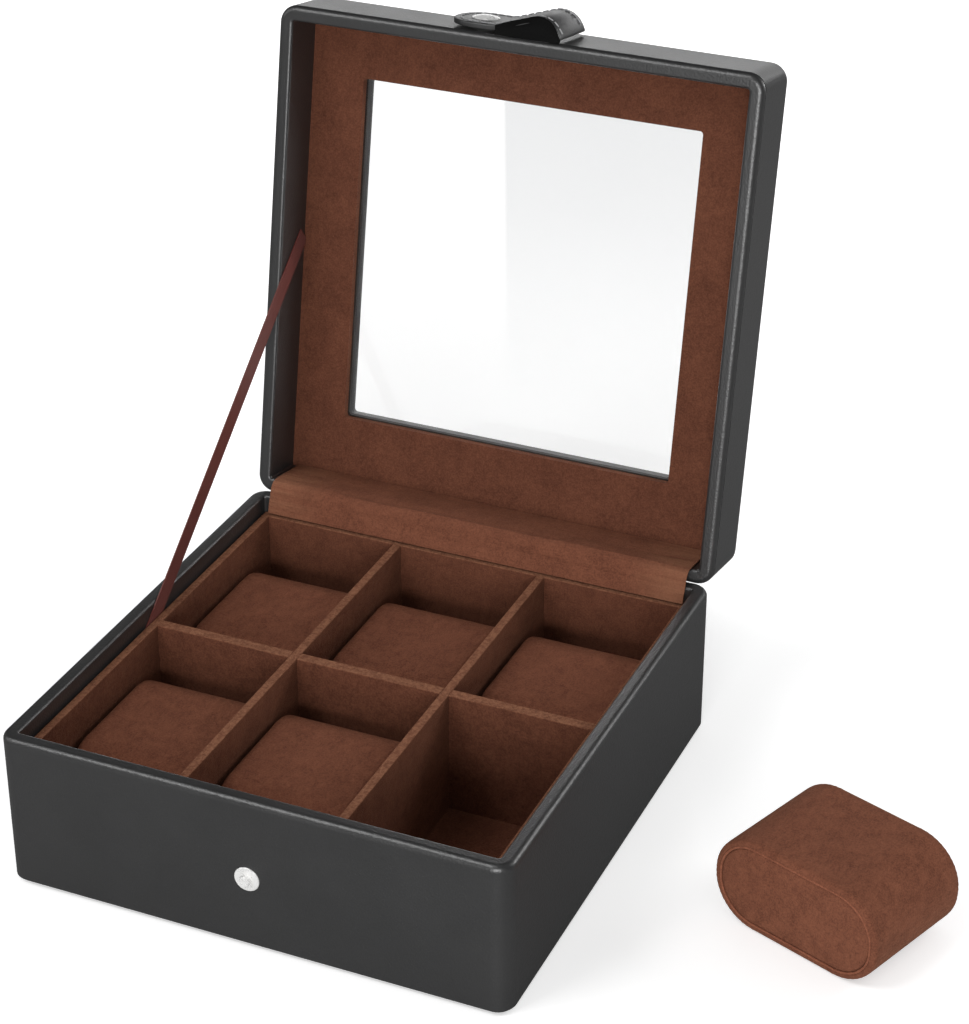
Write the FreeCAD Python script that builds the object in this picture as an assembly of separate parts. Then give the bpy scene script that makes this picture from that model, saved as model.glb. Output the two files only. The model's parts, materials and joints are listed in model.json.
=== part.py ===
import FreeCAD
import Part
import math
import os

# Watch display box, in millimetres, +Z up. The origin is the centre of the underside, -Y is the front.
# The lid is stored open on its stop, as it stands on a counter. Everything on the lid is drawn in the
# closed position and then turned about the hinge axis.

V = FreeCAD.Vector

# Overall sizes
BOX_WIDTH = 200.0
BOX_DEPTH = 202.0
BASE_HEIGHT = 63.5
LID_HEIGHT = 29.4
RIM_GAP = 0.6
CORNER_RADIUS = 7.0

# Wall build-up
LEATHER = 0.8
WALL_BOARD = 4.4
RIM_ROUND_OUTER = 2.5
RIM_ROUND_INNER = 1.2
TOP_ROUND = 1.5
BOTTOM_ROUND = 1.2

# Base
PAD_THICKNESS = 0.8
PAD_INSET = 3.0
BOTTOM_BOARD = 3.0
LEATHER_TURNED_IN = 20.0
LEATHER_TURNED_UNDER = 12.0

# Tray
FLOOR_LINING = 1.0
TRAY_BELOW_RIM = 7.0
TRAY_SIDE_SLOT = 0.8
SUEDE = 0.6
PANEL_CARD = 2.0
CROSS_CARD = 2.2
LONG_CARD = 3.2
MIDDLE_CELL_EXTRA = 2.8
HALVING_CLEARANCE = 0.1

# Lid
LID_TOP_BOARD = 4.9
MAT_THICKNESS = 3.0
MAT_CLEARANCE = 0.2
GLASS_THICKNESS = 2.0
GLASS_OVERLAP = 6.0
GLASS_CLEARANCE = 0.3
MAT_WINDOW_WIDTH = 143.0
MAT_WINDOW_DEPTH = 142.0
WINDOW_CORNER = 1.5
WINDOW_REVEAL = 1.0
WINDOW_CENTRE_Y = -1.5
RIM_BAND_HEIGHT = 2.0
SHADOW_GROOVE = 0.6

# Hinges
OPEN_ANGLE = 100.4
AXIS_INSET = 1.2
HINGE_X = 60.0
LEAF_LENGTH = 24.0
LEAF_WIDTH = 4.0
LEAF_THICKNESS = 0.6
LEAF_GAP = 0.1
KNUCKLE_DIAMETER = 2.4
KNUCKLE_GAP = 0.15
PIN_DIAMETER = 1.2
PIN_CLEARANCE = 0.05
POCKET_CLEARANCE = 0.2
SCREW_LENGTH = 6.0
SCREW_DIAMETER = 1.6
SCREW_HEAD_DIAMETER = 2.8
SCREW_HEAD_HEIGHT = 0.5
SCREW_SPACING = 16.0
SCREW_CLEARANCE = 0.05

# Snap fastener
STUD_FLANGE_DIAMETER = 9.8
STUD_FLANGE = 0.5
STUD_HEAD_DIAMETER = 4.0
STUD_NECK_DIAMETER = 3.4
STUD_HEIGHT = 2.0
RIVET_DIAMETER = 2.2
RIVET_HEAD_DIAMETER = 7.0
RIVET_HEAD = 0.5
RIVET_IN_STUD = 1.2
SNAP_CLEARANCE = 0.2
SOCKET_DIAMETER = 10.0
SOCKET_THICKNESS = 0.65
CAP_DIAMETER = 10.8
CAP_HEIGHT = 1.4
CAP_TUBE = 0.7
FIT = 0.05

# Strap
STRAP_WIDTH = 26.0
STRAP_LENGTH = 48.0
STRAP_LEATHER = 1.2
STRAP_LINING = 0.9
STRAP_STAND_OFF = 1.3
STRAP_TIP_CORNER = 7.0
SNAP_FROM_TIP = 12.0
ARCH_START_ANGLE = 62.0
ARCH_START_RUN = 3.0
ARCH_RADIUS = 8.0
ARCH_FOOT_RADIUS = 14.0
CAP_TO_FOOT = 0.93
ARCH_START_OUT = 0.9
ARCH_START_DOWN = 0.5
STRAP_FOLDED_EDGE_ABOVE_RIM = 1.9
STRAP_FOLDED_START_X = 17.6
TAB_THICKNESS = 1.2
TAB_DEPTH = 3.6

# Cushions
CUSHION_HEIGHT = 38.0
CUSHION_END_FLAT = 2.0
END_PANEL = 1.2
END_PANEL_INSET = 0.6
CUSHION_TO_LONG_DIVIDER = 5.9
CUSHION_TO_FAR_WALL = 10.9
CUSHION_TO_LEFT = 2.5
CUSHION_TO_RIGHT = 4.3
SOFT_CLEARANCE = 0.3
LOOSE_CUSHION_FROM_SIDE = 85.9
LOOSE_CUSHION_FORWARD = 3.7
LOOSE_CUSHION_ANGLE = 69.7

# Hinge flap and ribbon stay
FLAP_THICKNESS = 0.6
FLAP_TO_SIDE_WALL = 3.0
FLAP_OFF_WALL = 0.35
FLAP_BEND = 6.0
FLAP_ON_TRAY = 1.5
RIBBON_WIDTH = 8.0
RIBBON_THICKNESS = 0.4
RIBBON_LOW_Y = -8.0
RIBBON_LOW_BELOW_TRAY = 8.5
RIBBON_HIGH_Y = -4.0
RIBBON_HIGH_BELOW_MAT = 1.3

# How far a cutter runs past what it cuts
CUT_PAST = 1.0

# Derived places
HALF_X = BOX_WIDTH / 2
HALF_Y = BOX_DEPTH / 2
WALL = WALL_BOARD + 2 * LEATHER
LID_RIM = BASE_HEIGHT + RIM_GAP
LID_TOP = LID_RIM + LID_HEIGHT
AXIS_Y = HALF_Y - AXIS_INSET
AXIS_Z = BASE_HEIGHT + RIM_GAP / 2
CARD_INSET = LEATHER + WALL_BOARD
BOARD_BOTTOM = PAD_THICKNESS + LEATHER
FLOOR_TOP = BOARD_BOTTOM + BOTTOM_BOARD + FLOOR_LINING
TRAY_TOP = BASE_HEIGHT - TRAY_BELOW_RIM
PANEL = PANEL_CARD + 2 * SUEDE
TRAY_OUT_X = HALF_X - WALL - TRAY_SIDE_SLOT
TRAY_OUT_Y = HALF_Y - WALL - TRAY_SIDE_SLOT
CELL_X = TRAY_OUT_X - PANEL
CELL_Y = TRAY_OUT_Y - PANEL
CROSS = CROSS_CARD + 2 * SUEDE
LONG = LONG_CARD + 2 * SUEDE
SIDE_CELL = (2 * (CELL_X - CROSS) - MIDDLE_CELL_EXTRA) / 3
CROSS_DIVIDER_X = CELL_X - SIDE_CELL - CROSS / 2
CUSHION_WIDTH = SIDE_CELL - CUSHION_TO_LEFT - CUSHION_TO_RIGHT
CUSHION_LENGTH = CELL_Y - LONG / 2 - CUSHION_TO_LONG_DIVIDER - CUSHION_TO_FAR_WALL
CUSHION_END_RADIUS = (CUSHION_HEIGHT - CUSHION_END_FLAT) / 2
TOP_BOARD_BOTTOM = LID_TOP - LEATHER - LID_TOP_BOARD
MAT_FACE = TOP_BOARD_BOTTOM - MAT_THICKNESS
GLASS_TOP = TOP_BOARD_BOTTOM + GLASS_THICKNESS
GROOVE_BOTTOM = LID_RIM + RIM_BAND_HEIGHT
GROOVE_TOP = GROOVE_BOTTOM + SHADOW_GROOVE
STRAP_ROOT_Z = GROOVE_BOTTOM + SHADOW_GROOVE / 2
SNAP_S = STRAP_LENGTH - SNAP_FROM_TIP
STUD_Z = STRAP_ROOT_Z - SNAP_S


def block(x0, x1, y0, y1, z0, z1):
    return Part.makeBox(x1 - x0, y1 - y0, z1 - z0, V(x0, y0, z0))


def fused(shapes):
    whole = shapes[0].multiFuse(shapes[1:])
    return whole.removeSplitter()


def rounded_slab(half_x, half_y, radius, z0, z1, centre_y=0.0):
    """An upright slab with rounded corners."""
    slab = block(-half_x, half_x, centre_y - half_y, centre_y + half_y, z0, z1)
    uprights = [edge for edge in slab.Edges if abs(edge.tangentAt(edge.FirstParameter).z) > 0.99]
    return slab.makeFillet(radius, uprights)


def arc_points(centre, radius, start_degrees, end_degrees):
    """The start, middle and end of an arc in the (u, v) plane."""
    middle = (start_degrees + end_degrees) / 2
    points = []
    for degrees in (start_degrees, middle, end_degrees):
        angle = math.radians(degrees)
        points.append((centre[0] + radius * math.cos(angle), centre[1] + radius * math.sin(angle)))
    return points


def bevelled(*arcs):
    """The straight bevels that a board has under the leather's rounded edges."""
    return [[arc[end]] for arc in arcs for end in (0, -1)]


def section(path):
    """A face in the XZ plane from points and three-point arcs, each given as (u, v) pairs."""
    edges = []
    last = path[-1][-1]
    for piece in path:
        first = piece[0]
        if math.dist(first, last) > 1e-6:
            edges.append(Part.makeLine(V(last[0], 0, last[1]), V(first[0], 0, first[1])))
        if len(piece) == 3:
            corners = [V(u, 0, v) for u, v in piece]
            edges.append(Part.Arc(*corners).toShape())
        last = piece[-1]
    return Part.Face(Part.Wire(Part.__sortEdges__(edges)))


def around_walls(face):
    """Carries a wall section round the box. In the section, u runs inwards from the outer face."""
    run_x = HALF_X - CORNER_RADIUS
    run_y = HALF_Y - CORNER_RADIUS
    pieces = []
    for quarter, (half, run, centre) in enumerate(((HALF_Y, run_x, (-run_x, -run_y)),
                                                   (HALF_X, run_y, (run_x, -run_y)),
                                                   (HALF_Y, run_x, (run_x, run_y)),
                                                   (HALF_X, run_y, (-run_x, run_y)))):
        turn = 90.0 * quarter
        straight = face.copy()
        straight.rotate(V(0, 0, 0), V(0, 0, 1), 90)
        straight.translate(V(-run, -half, 0))
        straight = straight.extrude(V(2 * run, 0, 0))
        straight.rotate(V(0, 0, 0), V(0, 0, 1), turn)
        pieces.append(straight)
        corner = face.copy()
        corner.translate(V(-CORNER_RADIUS, 0, 0))
        corner = corner.revolve(V(0, 0, 0), V(0, 0, 1), 90)
        corner.rotate(V(0, 0, 0), V(0, 0, 1), turn)
        corner.translate(V(centre[0], centre[1], 0))
        pieces.append(corner)
    return fused(pieces)


def wall_boards(face):
    """The four boards of a walled frame, mitred at the corners."""
    frame = around_walls(face)
    box = frame.BoundBox
    boards = {}
    for side, (half, other, turn) in {"front": (HALF_X, HALF_Y, 0), "right": (HALF_Y, HALF_X, 90),
                                      "back": (HALF_X, HALF_Y, 180), "left": (HALF_Y, HALF_X, 270)}.items():
        reach = half - CORNER_RADIUS
        outline = [V(-half, -other, 0), V(half, -other, 0), V(reach, -other + CORNER_RADIUS, 0),
                   V(-reach, -other + CORNER_RADIUS, 0), V(-half, -other, 0)]
        wedge = Part.Face(Part.makePolygon(outline)).extrude(V(0, 0, box.ZLength + 2 * CUT_PAST))
        wedge.translate(V(0, 0, box.ZMin - CUT_PAST))
        wedge.rotate(V(0, 0, 0), V(0, 0, 1), turn)
        boards[side] = frame.common(wedge)
    return boards


def opened(shape):
    """Turns a piece drawn in the closed lid to where it stands with the lid open."""
    turned = shape.copy()
    turned.rotate(V(0, AXIS_Y, AXIS_Z), V(1, 0, 0), -OPEN_ANGLE)
    return turned


def opened_point(y, z):
    angle = math.radians(-OPEN_ANGLE)
    dy = y - AXIS_Y
    dz = z - AXIS_Z
    return (AXIS_Y + dy * math.cos(angle) - dz * math.sin(angle),
            AXIS_Z + dy * math.sin(angle) + dz * math.cos(angle))


# Hinges

def knuckle_spans():
    """The three knuckles along one hinge, from its centre: base, lid, base."""
    third = LEAF_LENGTH / 3
    spans = []
    for index in range(3):
        low = -LEAF_LENGTH / 2 + index * third
        spans.append((low + KNUCKLE_GAP / 2, low + third - KNUCKLE_GAP / 2))
    return spans


def barrel(x0, x1, radius):
    return Part.makeCylinder(radius, x1 - x0, V(x0, AXIS_Y, AXIS_Z), V(1, 0, 0))


def screw_places(hinge_x):
    y = AXIS_Y - LEAF_WIDTH + (LEAF_WIDTH - KNUCKLE_DIAMETER / 2) / 2
    return [(hinge_x - SCREW_SPACING / 2, y), (hinge_x + SCREW_SPACING / 2, y)]


def leaf_face(side):
    """Height of the leaf's face next to the other leaf; side is -1 for the base, 1 for the lid."""
    return AXIS_Z + side * LEAF_GAP / 2


def screw(x, y, side, radius_extra):
    """A countersunk screw whose head lies flush in its leaf; the extra radius makes its hole."""
    direction = V(0, 0, side)
    start = V(x, y, leaf_face(side))
    shank = Part.makeCylinder(SCREW_DIAMETER / 2 + radius_extra, SCREW_LENGTH, start, direction)
    head = Part.makeCone(SCREW_HEAD_DIAMETER / 2 + radius_extra, SCREW_DIAMETER / 2 + radius_extra,
                         SCREW_HEAD_HEIGHT, start, direction)
    return fused([shank, head])


def hinge_leaf(hinge_x, side):
    spans = knuckle_spans()
    own = [spans[0], spans[2]] if side < 0 else [spans[1]]
    other = [spans[1]] if side < 0 else [spans[0], spans[2]]
    near = leaf_face(side)
    far = near + side * LEAF_THICKNESS
    plate = block(hinge_x - LEAF_LENGTH / 2, hinge_x + LEAF_LENGTH / 2, AXIS_Y - LEAF_WIDTH, AXIS_Y,
                  min(near, far), max(near, far))
    for low, high in other:
        clear = barrel(hinge_x + low - KNUCKLE_GAP, hinge_x + high + KNUCKLE_GAP,
                       KNUCKLE_DIAMETER / 2 + KNUCKLE_GAP)
        plate = plate.cut(clear)
    knuckles = [barrel(hinge_x + low, hinge_x + high, KNUCKLE_DIAMETER / 2) for low, high in own]
    leaf = fused([plate] + knuckles)
    leaf = leaf.cut(barrel(hinge_x - LEAF_LENGTH, hinge_x + LEAF_LENGTH, PIN_DIAMETER / 2 + PIN_CLEARANCE))
    for x, y in screw_places(hinge_x):
        leaf = leaf.cut(screw(x, y, side, SCREW_CLEARANCE))
    return leaf


def hinge_pocket(hinge_x, side):
    """What the rim loses to one hinge: the leaf's recess, the barrel's notch and the screw holes."""
    half = LEAF_LENGTH / 2 + POCKET_CLEARANCE
    near = leaf_face(side) - side * LEAF_GAP
    far = leaf_face(side) + side * (LEAF_THICKNESS + POCKET_CLEARANCE / 4)
    recess = block(hinge_x - half, hinge_x + half, AXIS_Y - LEAF_WIDTH - POCKET_CLEARANCE, AXIS_Y,
                   min(near, far), max(near, far))
    notch = barrel(hinge_x - half, hinge_x + half, KNUCKLE_DIAMETER / 2 + POCKET_CLEARANCE)
    behind = block(hinge_x - half, hinge_x + half, AXIS_Y, HALF_Y + CUT_PAST,
                   AXIS_Z - KNUCKLE_DIAMETER / 2 - POCKET_CLEARANCE,
                   AXIS_Z + KNUCKLE_DIAMETER / 2 + POCKET_CLEARANCE)
    holes = [screw(x, y, side, SCREW_CLEARANCE) for x, y in screw_places(hinge_x)]
    return fused([recess, notch, behind] + holes)


def both_hinges(make):
    return [make(-HINGE_X), make(HINGE_X)]


# Base

def rim_profile_arcs(skin):
    """The two rounded shoulders of the base's rim, the given depth below the leather's surface."""
    outer = arc_points((RIM_ROUND_OUTER, BASE_HEIGHT - RIM_ROUND_OUTER), RIM_ROUND_OUTER - skin, 180, 90)
    inner_centre = (WALL - RIM_ROUND_INNER, BASE_HEIGHT - RIM_ROUND_INNER)
    inner = arc_points(inner_centre, RIM_ROUND_INNER - skin, 90, 0)
    return outer, inner


def base_cover():
    """One skin: under the bottom's edge, up the walls, over the rim and part of the way down inside."""
    outer, inner = rim_profile_arcs(0)
    outer_back, inner_back = rim_profile_arcs(LEATHER)
    bottom = PAD_THICKNESS
    foot = arc_points((BOTTOM_ROUND, bottom + BOTTOM_ROUND), BOTTOM_ROUND, 270, 180)
    foot_back = arc_points((BOTTOM_ROUND, bottom + BOTTOM_ROUND), BOTTOM_ROUND - LEATHER, 180, 270)
    turned_in = BASE_HEIGHT - LEATHER_TURNED_IN
    walls = around_walls(section(bevelled(foot) +
                                 [outer, inner, [(WALL, turned_in)], [(CARD_INSET, turned_in)]] +
                                 bevelled(inner_back[::-1], outer_back[::-1], foot_back)))
    under = rounded_slab(HALF_X - BOTTOM_ROUND, HALF_Y - BOTTOM_ROUND, CORNER_RADIUS - BOTTOM_ROUND,
                         bottom, bottom + LEATHER)
    inside = HALF_X - LEATHER_TURNED_UNDER
    inside_y = HALF_Y - LEATHER_TURNED_UNDER
    under = under.cut(block(-inside, inside, -inside_y, inside_y,
                            bottom - CUT_PAST, bottom + LEATHER + CUT_PAST))
    return fused([walls, under])


def base_board_section():
    outer, inner = rim_profile_arcs(LEATHER)
    foot_centre = (BOTTOM_ROUND, PAD_THICKNESS + BOTTOM_ROUND)
    foot = arc_points(foot_centre, BOTTOM_ROUND - LEATHER, 270, 180)
    return section(bevelled(foot, outer, inner) + [[(CARD_INSET, BOARD_BOTTOM)]])


def stud_hole():
    """The rivet's hole through the front wall."""
    return Part.makeCylinder(RIVET_DIAMETER / 2 + FIT, WALL + 2 * CUT_PAST,
                             V(0, -HALF_Y - CUT_PAST, STUD_Z), V(0, 1, 0))


def base_pieces():
    pockets = fused(both_hinges(lambda x: hinge_pocket(x, -1)))
    hole = stud_hole()
    pieces = {"base_leather_cover": base_cover().cut(pockets).cut(hole)}
    for side, board in wall_boards(base_board_section()).items():
        if side == "back":
            board = board.cut(pockets)
        if side == "front":
            board = board.cut(hole)
        pieces["base_" + side + "_board"] = board
    inner_x = HALF_X - CARD_INSET
    inner_y = HALF_Y - CARD_INSET
    inner_corner = CORNER_RADIUS - CARD_INSET
    board_top = BOARD_BOTTOM + BOTTOM_BOARD
    pieces["base_bottom_board"] = rounded_slab(inner_x, inner_y, inner_corner, BOARD_BOTTOM, board_top)
    pieces["bottom_pad"] = rounded_slab(HALF_X - PAD_INSET, HALF_Y - PAD_INSET, CORNER_RADIUS - PAD_INSET,
                                        0, PAD_THICKNESS)
    pieces["tray_floor_lining"] = block(-TRAY_OUT_X, TRAY_OUT_X, -TRAY_OUT_Y, TRAY_OUT_Y,
                                        board_top, FLOOR_TOP)
    return pieces


# Tray

def wrapped_card(x0, x1, y0, y1, cuts):
    """A card and the suede that goes up one face, over the top and down the other."""
    thin_along_x = x1 - x0 < y1 - y0
    outer = block(x0, x1, y0, y1, FLOOR_TOP, TRAY_TOP)
    if thin_along_x:
        card = block(x0 + SUEDE, x1 - SUEDE, y0, y1, FLOOR_TOP, TRAY_TOP - SUEDE)
    else:
        card = block(x0, x1, y0 + SUEDE, y1 - SUEDE, FLOOR_TOP, TRAY_TOP - SUEDE)
    suede = outer.cut(card)
    along = V(0, 1, 0) if thin_along_x else V(1, 0, 0)
    top_edges = [edge for edge in suede.Edges
                 if edge.CenterOfMass.z > TRAY_TOP - 1e-4 and
                 edge.tangentAt(edge.FirstParameter).cross(along).Length < 1e-6]
    suede = suede.makeFillet(SUEDE / 2, top_edges)
    for cut in cuts:
        card = card.cut(cut)
        suede = suede.cut(cut)
    return card, suede


def tray_pieces():
    middle = (FLOOR_TOP + TRAY_TOP) / 2
    from_below = []
    from_above = []
    for x in (-CROSS_DIVIDER_X, CROSS_DIVIDER_X):
        half = CROSS / 2 + HALVING_CLEARANCE
        from_above.append(block(x - half, x + half, -LONG, LONG,
                                middle - HALVING_CLEARANCE, TRAY_TOP + CUT_PAST))
        half = LONG / 2 + HALVING_CLEARANCE
        from_below.append(block(x - CROSS, x + CROSS, -half, half,
                                FLOOR_TOP - CUT_PAST, middle + HALVING_CLEARANCE))
    walls = {
        "tray_left_panel": (-TRAY_OUT_X, -CELL_X, -TRAY_OUT_Y, TRAY_OUT_Y, []),
        "tray_right_panel": (CELL_X, TRAY_OUT_X, -TRAY_OUT_Y, TRAY_OUT_Y, []),
        "tray_front_panel": (-CELL_X, CELL_X, -TRAY_OUT_Y, -CELL_Y, []),
        "tray_back_panel": (-CELL_X, CELL_X, CELL_Y, TRAY_OUT_Y, []),
        "cross_divider_left": (-CROSS_DIVIDER_X - CROSS / 2, -CROSS_DIVIDER_X + CROSS / 2, -CELL_Y, CELL_Y,
                               from_below),
        "cross_divider_right": (CROSS_DIVIDER_X - CROSS / 2, CROSS_DIVIDER_X + CROSS / 2, -CELL_Y, CELL_Y,
                                from_below),
        "long_divider": (-CELL_X, CELL_X, -LONG / 2, LONG / 2, from_above),
    }
    pieces = {}
    for name, (x0, x1, y0, y1, cuts) in walls.items():
        card, suede = wrapped_card(x0, x1, y0, y1, cuts)
        pieces[name + "_card"] = card
        pieces[name + "_suede"] = suede
    return pieces


# Lid, drawn closed

def lid_rim_arcs(skin):
    outer = arc_points((RIM_ROUND_OUTER, LID_RIM + RIM_ROUND_OUTER), RIM_ROUND_OUTER - skin, 180, 270)
    inner_centre = (WALL - RIM_ROUND_INNER, LID_RIM + RIM_ROUND_INNER)
    inner = arc_points(inner_centre, RIM_ROUND_INNER - skin, 270, 360)
    return outer, inner


def rim_lining():
    """The leather of the lid's rim band, and up the inner walls to the mat."""
    outer, inner = lid_rim_arcs(0)
    outer_back, inner_back = lid_rim_arcs(LEATHER)
    tall = LID_RIM + RIM_ROUND_OUTER + RIM_BAND_HEIGHT
    skin = around_walls(section([[(0, tall)], outer, inner, [(WALL, MAT_FACE)], [(CARD_INSET, MAT_FACE)]] +
                                bevelled(inner_back[::-1], outer_back[::-1]) + [[(LEATHER, tall)]]))
    inside = rounded_slab(HALF_X - WALL_BOARD / 2, HALF_Y - WALL_BOARD / 2, CORNER_RADIUS - WALL_BOARD / 2,
                          GROOVE_BOTTOM - CUT_PAST, LID_TOP)
    above = block(-BOX_WIDTH, BOX_WIDTH, -BOX_DEPTH, BOX_DEPTH, GROOVE_BOTTOM, LID_TOP).cut(inside)
    return skin.cut(above)


def lid_board_section():
    outer, inner = lid_rim_arcs(LEATHER)
    top = LID_TOP - LEATHER
    shoulder = arc_points((TOP_ROUND, LID_TOP - TOP_ROUND), TOP_ROUND - LEATHER, 90, 180)
    return section(bevelled(shoulder, outer, inner) + [[(CARD_INSET, top)]])


def window(extra, z0, z1, corner):
    """The window's opening, or what is that much wider all round."""
    return rounded_slab(MAT_WINDOW_WIDTH / 2 + extra, MAT_WINDOW_DEPTH / 2 + extra, corner, z0, z1,
                        WINDOW_CENTRE_Y)


def lid_leather():
    """The skin over the lid's walls and top, turned down into the window as far as the glass."""
    shoulder = arc_points((TOP_ROUND, LID_TOP - TOP_ROUND), TOP_ROUND, 180, 90)
    shoulder_back = arc_points((TOP_ROUND, LID_TOP - TOP_ROUND), TOP_ROUND - LEATHER, 90, 180)
    walls = around_walls(section([[(0, GROOVE_TOP)], shoulder] + bevelled(shoulder_back) +
                                 [[(LEATHER, GROOVE_TOP)]]))
    top = rounded_slab(HALF_X - TOP_ROUND, HALF_Y - TOP_ROUND, CORNER_RADIUS - TOP_ROUND,
                       LID_TOP - LEATHER, LID_TOP)
    sleeve = window(LEATHER - WINDOW_REVEAL, GLASS_TOP, LID_TOP - LEATHER / 2, WINDOW_CORNER)
    whole = fused([walls, top, sleeve])
    return whole.cut(window(-WINDOW_REVEAL, GLASS_TOP - CUT_PAST, LID_TOP + CUT_PAST, WINDOW_CORNER))


def strap_tab(clearance):
    half = STRAP_WIDTH / 2 + clearance
    thick = TAB_THICKNESS / 2 + clearance
    return block(-half, half, -HALF_Y - clearance, -HALF_Y + TAB_DEPTH + clearance,
                 STRAP_ROOT_Z - thick, STRAP_ROOT_Z + thick)


def lid_pieces():
    pockets = fused(both_hinges(lambda x: hinge_pocket(x, 1)))
    tab_slot = strap_tab(FIT)
    pieces = {"lid_leather_cover": lid_leather().cut(tab_slot),
              "lid_rim_lining": rim_lining().cut(pockets).cut(tab_slot),
              "strap_root_tab": strap_tab(0)}
    for side, board in wall_boards(lid_board_section()).items():
        if side == "back":
            board = board.cut(pockets)
        if side == "front":
            board = board.cut(tab_slot)
        pieces["lid_" + side + "_board"] = board
    inner_x = HALF_X - CARD_INSET
    inner_y = HALF_Y - CARD_INSET
    corner = CORNER_RADIUS - CARD_INSET
    board = rounded_slab(inner_x, inner_y, corner, TOP_BOARD_BOTTOM, LID_TOP - LEATHER)
    board = board.cut(window(LEATHER - WINDOW_REVEAL, TOP_BOARD_BOTTOM - CUT_PAST, LID_TOP, WINDOW_CORNER))
    rebate = GLASS_OVERLAP + GLASS_CLEARANCE
    board = board.cut(window(rebate, TOP_BOARD_BOTTOM - CUT_PAST, GLASS_TOP, WINDOW_CORNER))
    pieces["lid_top_board"] = board
    pieces["window_glass"] = window(GLASS_OVERLAP, TOP_BOARD_BOTTOM, GLASS_TOP, WINDOW_CORNER)
    mat = rounded_slab(inner_x - MAT_CLEARANCE, inner_y - MAT_CLEARANCE, corner, MAT_FACE, TOP_BOARD_BOTTOM)
    pieces["window_mat"] = mat.cut(window(0, MAT_FACE - CUT_PAST, LID_TOP, WINDOW_CORNER))
    return pieces


# Strap, drawn hanging over the closed seam. In its section, s runs down from the root, n out of the wall.

def strap_line():
    """The line where leather and lining meet, as straight runs and arcs that join smoothly."""
    start = math.radians(ARCH_START_ANGLE)
    level = STRAP_STAND_OFF + STRAP_LINING
    p0 = (ARCH_START_DOWN, ARCH_START_OUT)
    p1 = (p0[0] + ARCH_START_RUN * math.cos(start), p0[1] + ARCH_START_RUN * math.sin(start))
    centre = (p1[0] + ARCH_RADIUS * math.sin(start), p1[1] - ARCH_RADIUS * math.cos(start))
    foot_end = STRAP_LENGTH - SNAP_FROM_TIP - CAP_DIAMETER / 2 - CAP_TO_FOOT
    foot_centre = (foot_end, level + ARCH_FOOT_RADIUS)
    along = foot_centre[0] - centre[0]
    rise = foot_centre[1] - centre[1]
    turn = math.asin((ARCH_RADIUS + ARCH_FOOT_RADIUS) / math.hypot(along, rise))
    fall = math.degrees(turn - math.atan2(rise, along))
    arch = arc_points(centre, ARCH_RADIUS, 90 + ARCH_START_ANGLE, 90 - fall)
    foot = arc_points(foot_centre, ARCH_FOOT_RADIUS, 270 - fall, 270)
    lines = [("line", [p0, p1]), ("arc", arch), ("line", [arch[2], foot[0]]), ("arc", foot),
             ("line", [foot[2], (STRAP_LENGTH, level)])]
    edges = []
    for kind, points in lines:
        vectors = [V(0, -HALF_Y - n, STRAP_ROOT_Z - s) for s, n in points]
        edges.append(Part.Arc(*vectors).toShape() if kind == "arc" else Part.makeLine(*vectors))
    return Part.Wire(edges)


def strap_layer(line, offset):
    """One layer of the strap beside the line, cut to the strap's outline and holed for the snap."""
    other = line.makeOffset2D(offset, 0, False, True)
    ends = [Part.makeLine(line.OrderedVertexes[index].Point, other.OrderedVertexes[index].Point)
            for index in (0, -1)]
    outline = Part.Wire(Part.__sortEdges__(line.Edges + other.Edges + ends))
    layer = Part.Face(outline).extrude(V(STRAP_WIDTH, 0, 0))
    layer.translate(V(-STRAP_WIDTH / 2, 0, 0))
    plan = block(-STRAP_WIDTH / 2, STRAP_WIDTH / 2, -HALF_Y - STRAP_LENGTH, -HALF_Y,
                 STRAP_ROOT_Z - STRAP_LENGTH, STRAP_ROOT_Z + STRAP_WIDTH)
    corners = [edge for edge in plan.Edges
               if abs(edge.tangentAt(edge.FirstParameter).y) > 0.99 and edge.CenterOfMass.z < STUD_Z]
    layer = layer.common(plan.makeFillet(STRAP_TIP_CORNER, corners))
    hole = Part.makeCylinder(snap_tube_radius() + FIT, STRAP_LENGTH, V(0, -HALF_Y, STUD_Z), V(0, -1, 0))
    return layer.cut(hole)


def snap_tube_radius():
    return STUD_HEAD_DIAMETER / 2 + SNAP_CLEARANCE + CAP_TUBE


def turned(points):
    """A solid turned about the snap's axis from (radius, height off the wall) points and arcs."""
    solid = section(points).revolve(V(0, 0, 0), V(0, 0, 1), 360)
    solid.rotate(V(0, 0, 0), V(1, 0, 0), 90)
    solid.translate(V(0, -HALF_Y, STUD_Z))
    return solid


def snap_stud():
    """A bevelled flange on the wall, a neck and a slightly wider head, bored from behind for its rivet."""
    edge = STUD_FLANGE / 2
    flange = STUD_FLANGE_DIAMETER / 2
    head = STUD_HEAD_DIAMETER / 2
    neck = STUD_NECK_DIAMETER / 2
    top = STUD_FLANGE + STUD_HEIGHT
    bore = RIVET_DIAMETER / 2 + FIT
    swell = head - neck
    body = turned([[(0, 0)], [(flange, 0)], [(flange, edge)], [(flange - edge, STUD_FLANGE)],
                   [(neck, STUD_FLANGE)], [(neck, top - 3 * swell)], [(head, top - 2 * swell)],
                   [(head, top - swell)], [(neck, top)], [(0, top)]])
    return body.cut(Part.makeCylinder(bore, RIVET_IN_STUD + FIT, V(0, -HALF_Y, STUD_Z), V(0, -1, 0)))


def snap_rivet():
    behind = -CARD_INSET
    return turned([[(0, behind - RIVET_HEAD)], [(RIVET_HEAD_DIAMETER / 2, behind - RIVET_HEAD)],
                   [(RIVET_HEAD_DIAMETER / 2, behind)], [(RIVET_DIAMETER / 2, behind)],
                   [(RIVET_DIAMETER / 2, RIVET_IN_STUD)], [(0, RIVET_IN_STUD)]])


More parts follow.
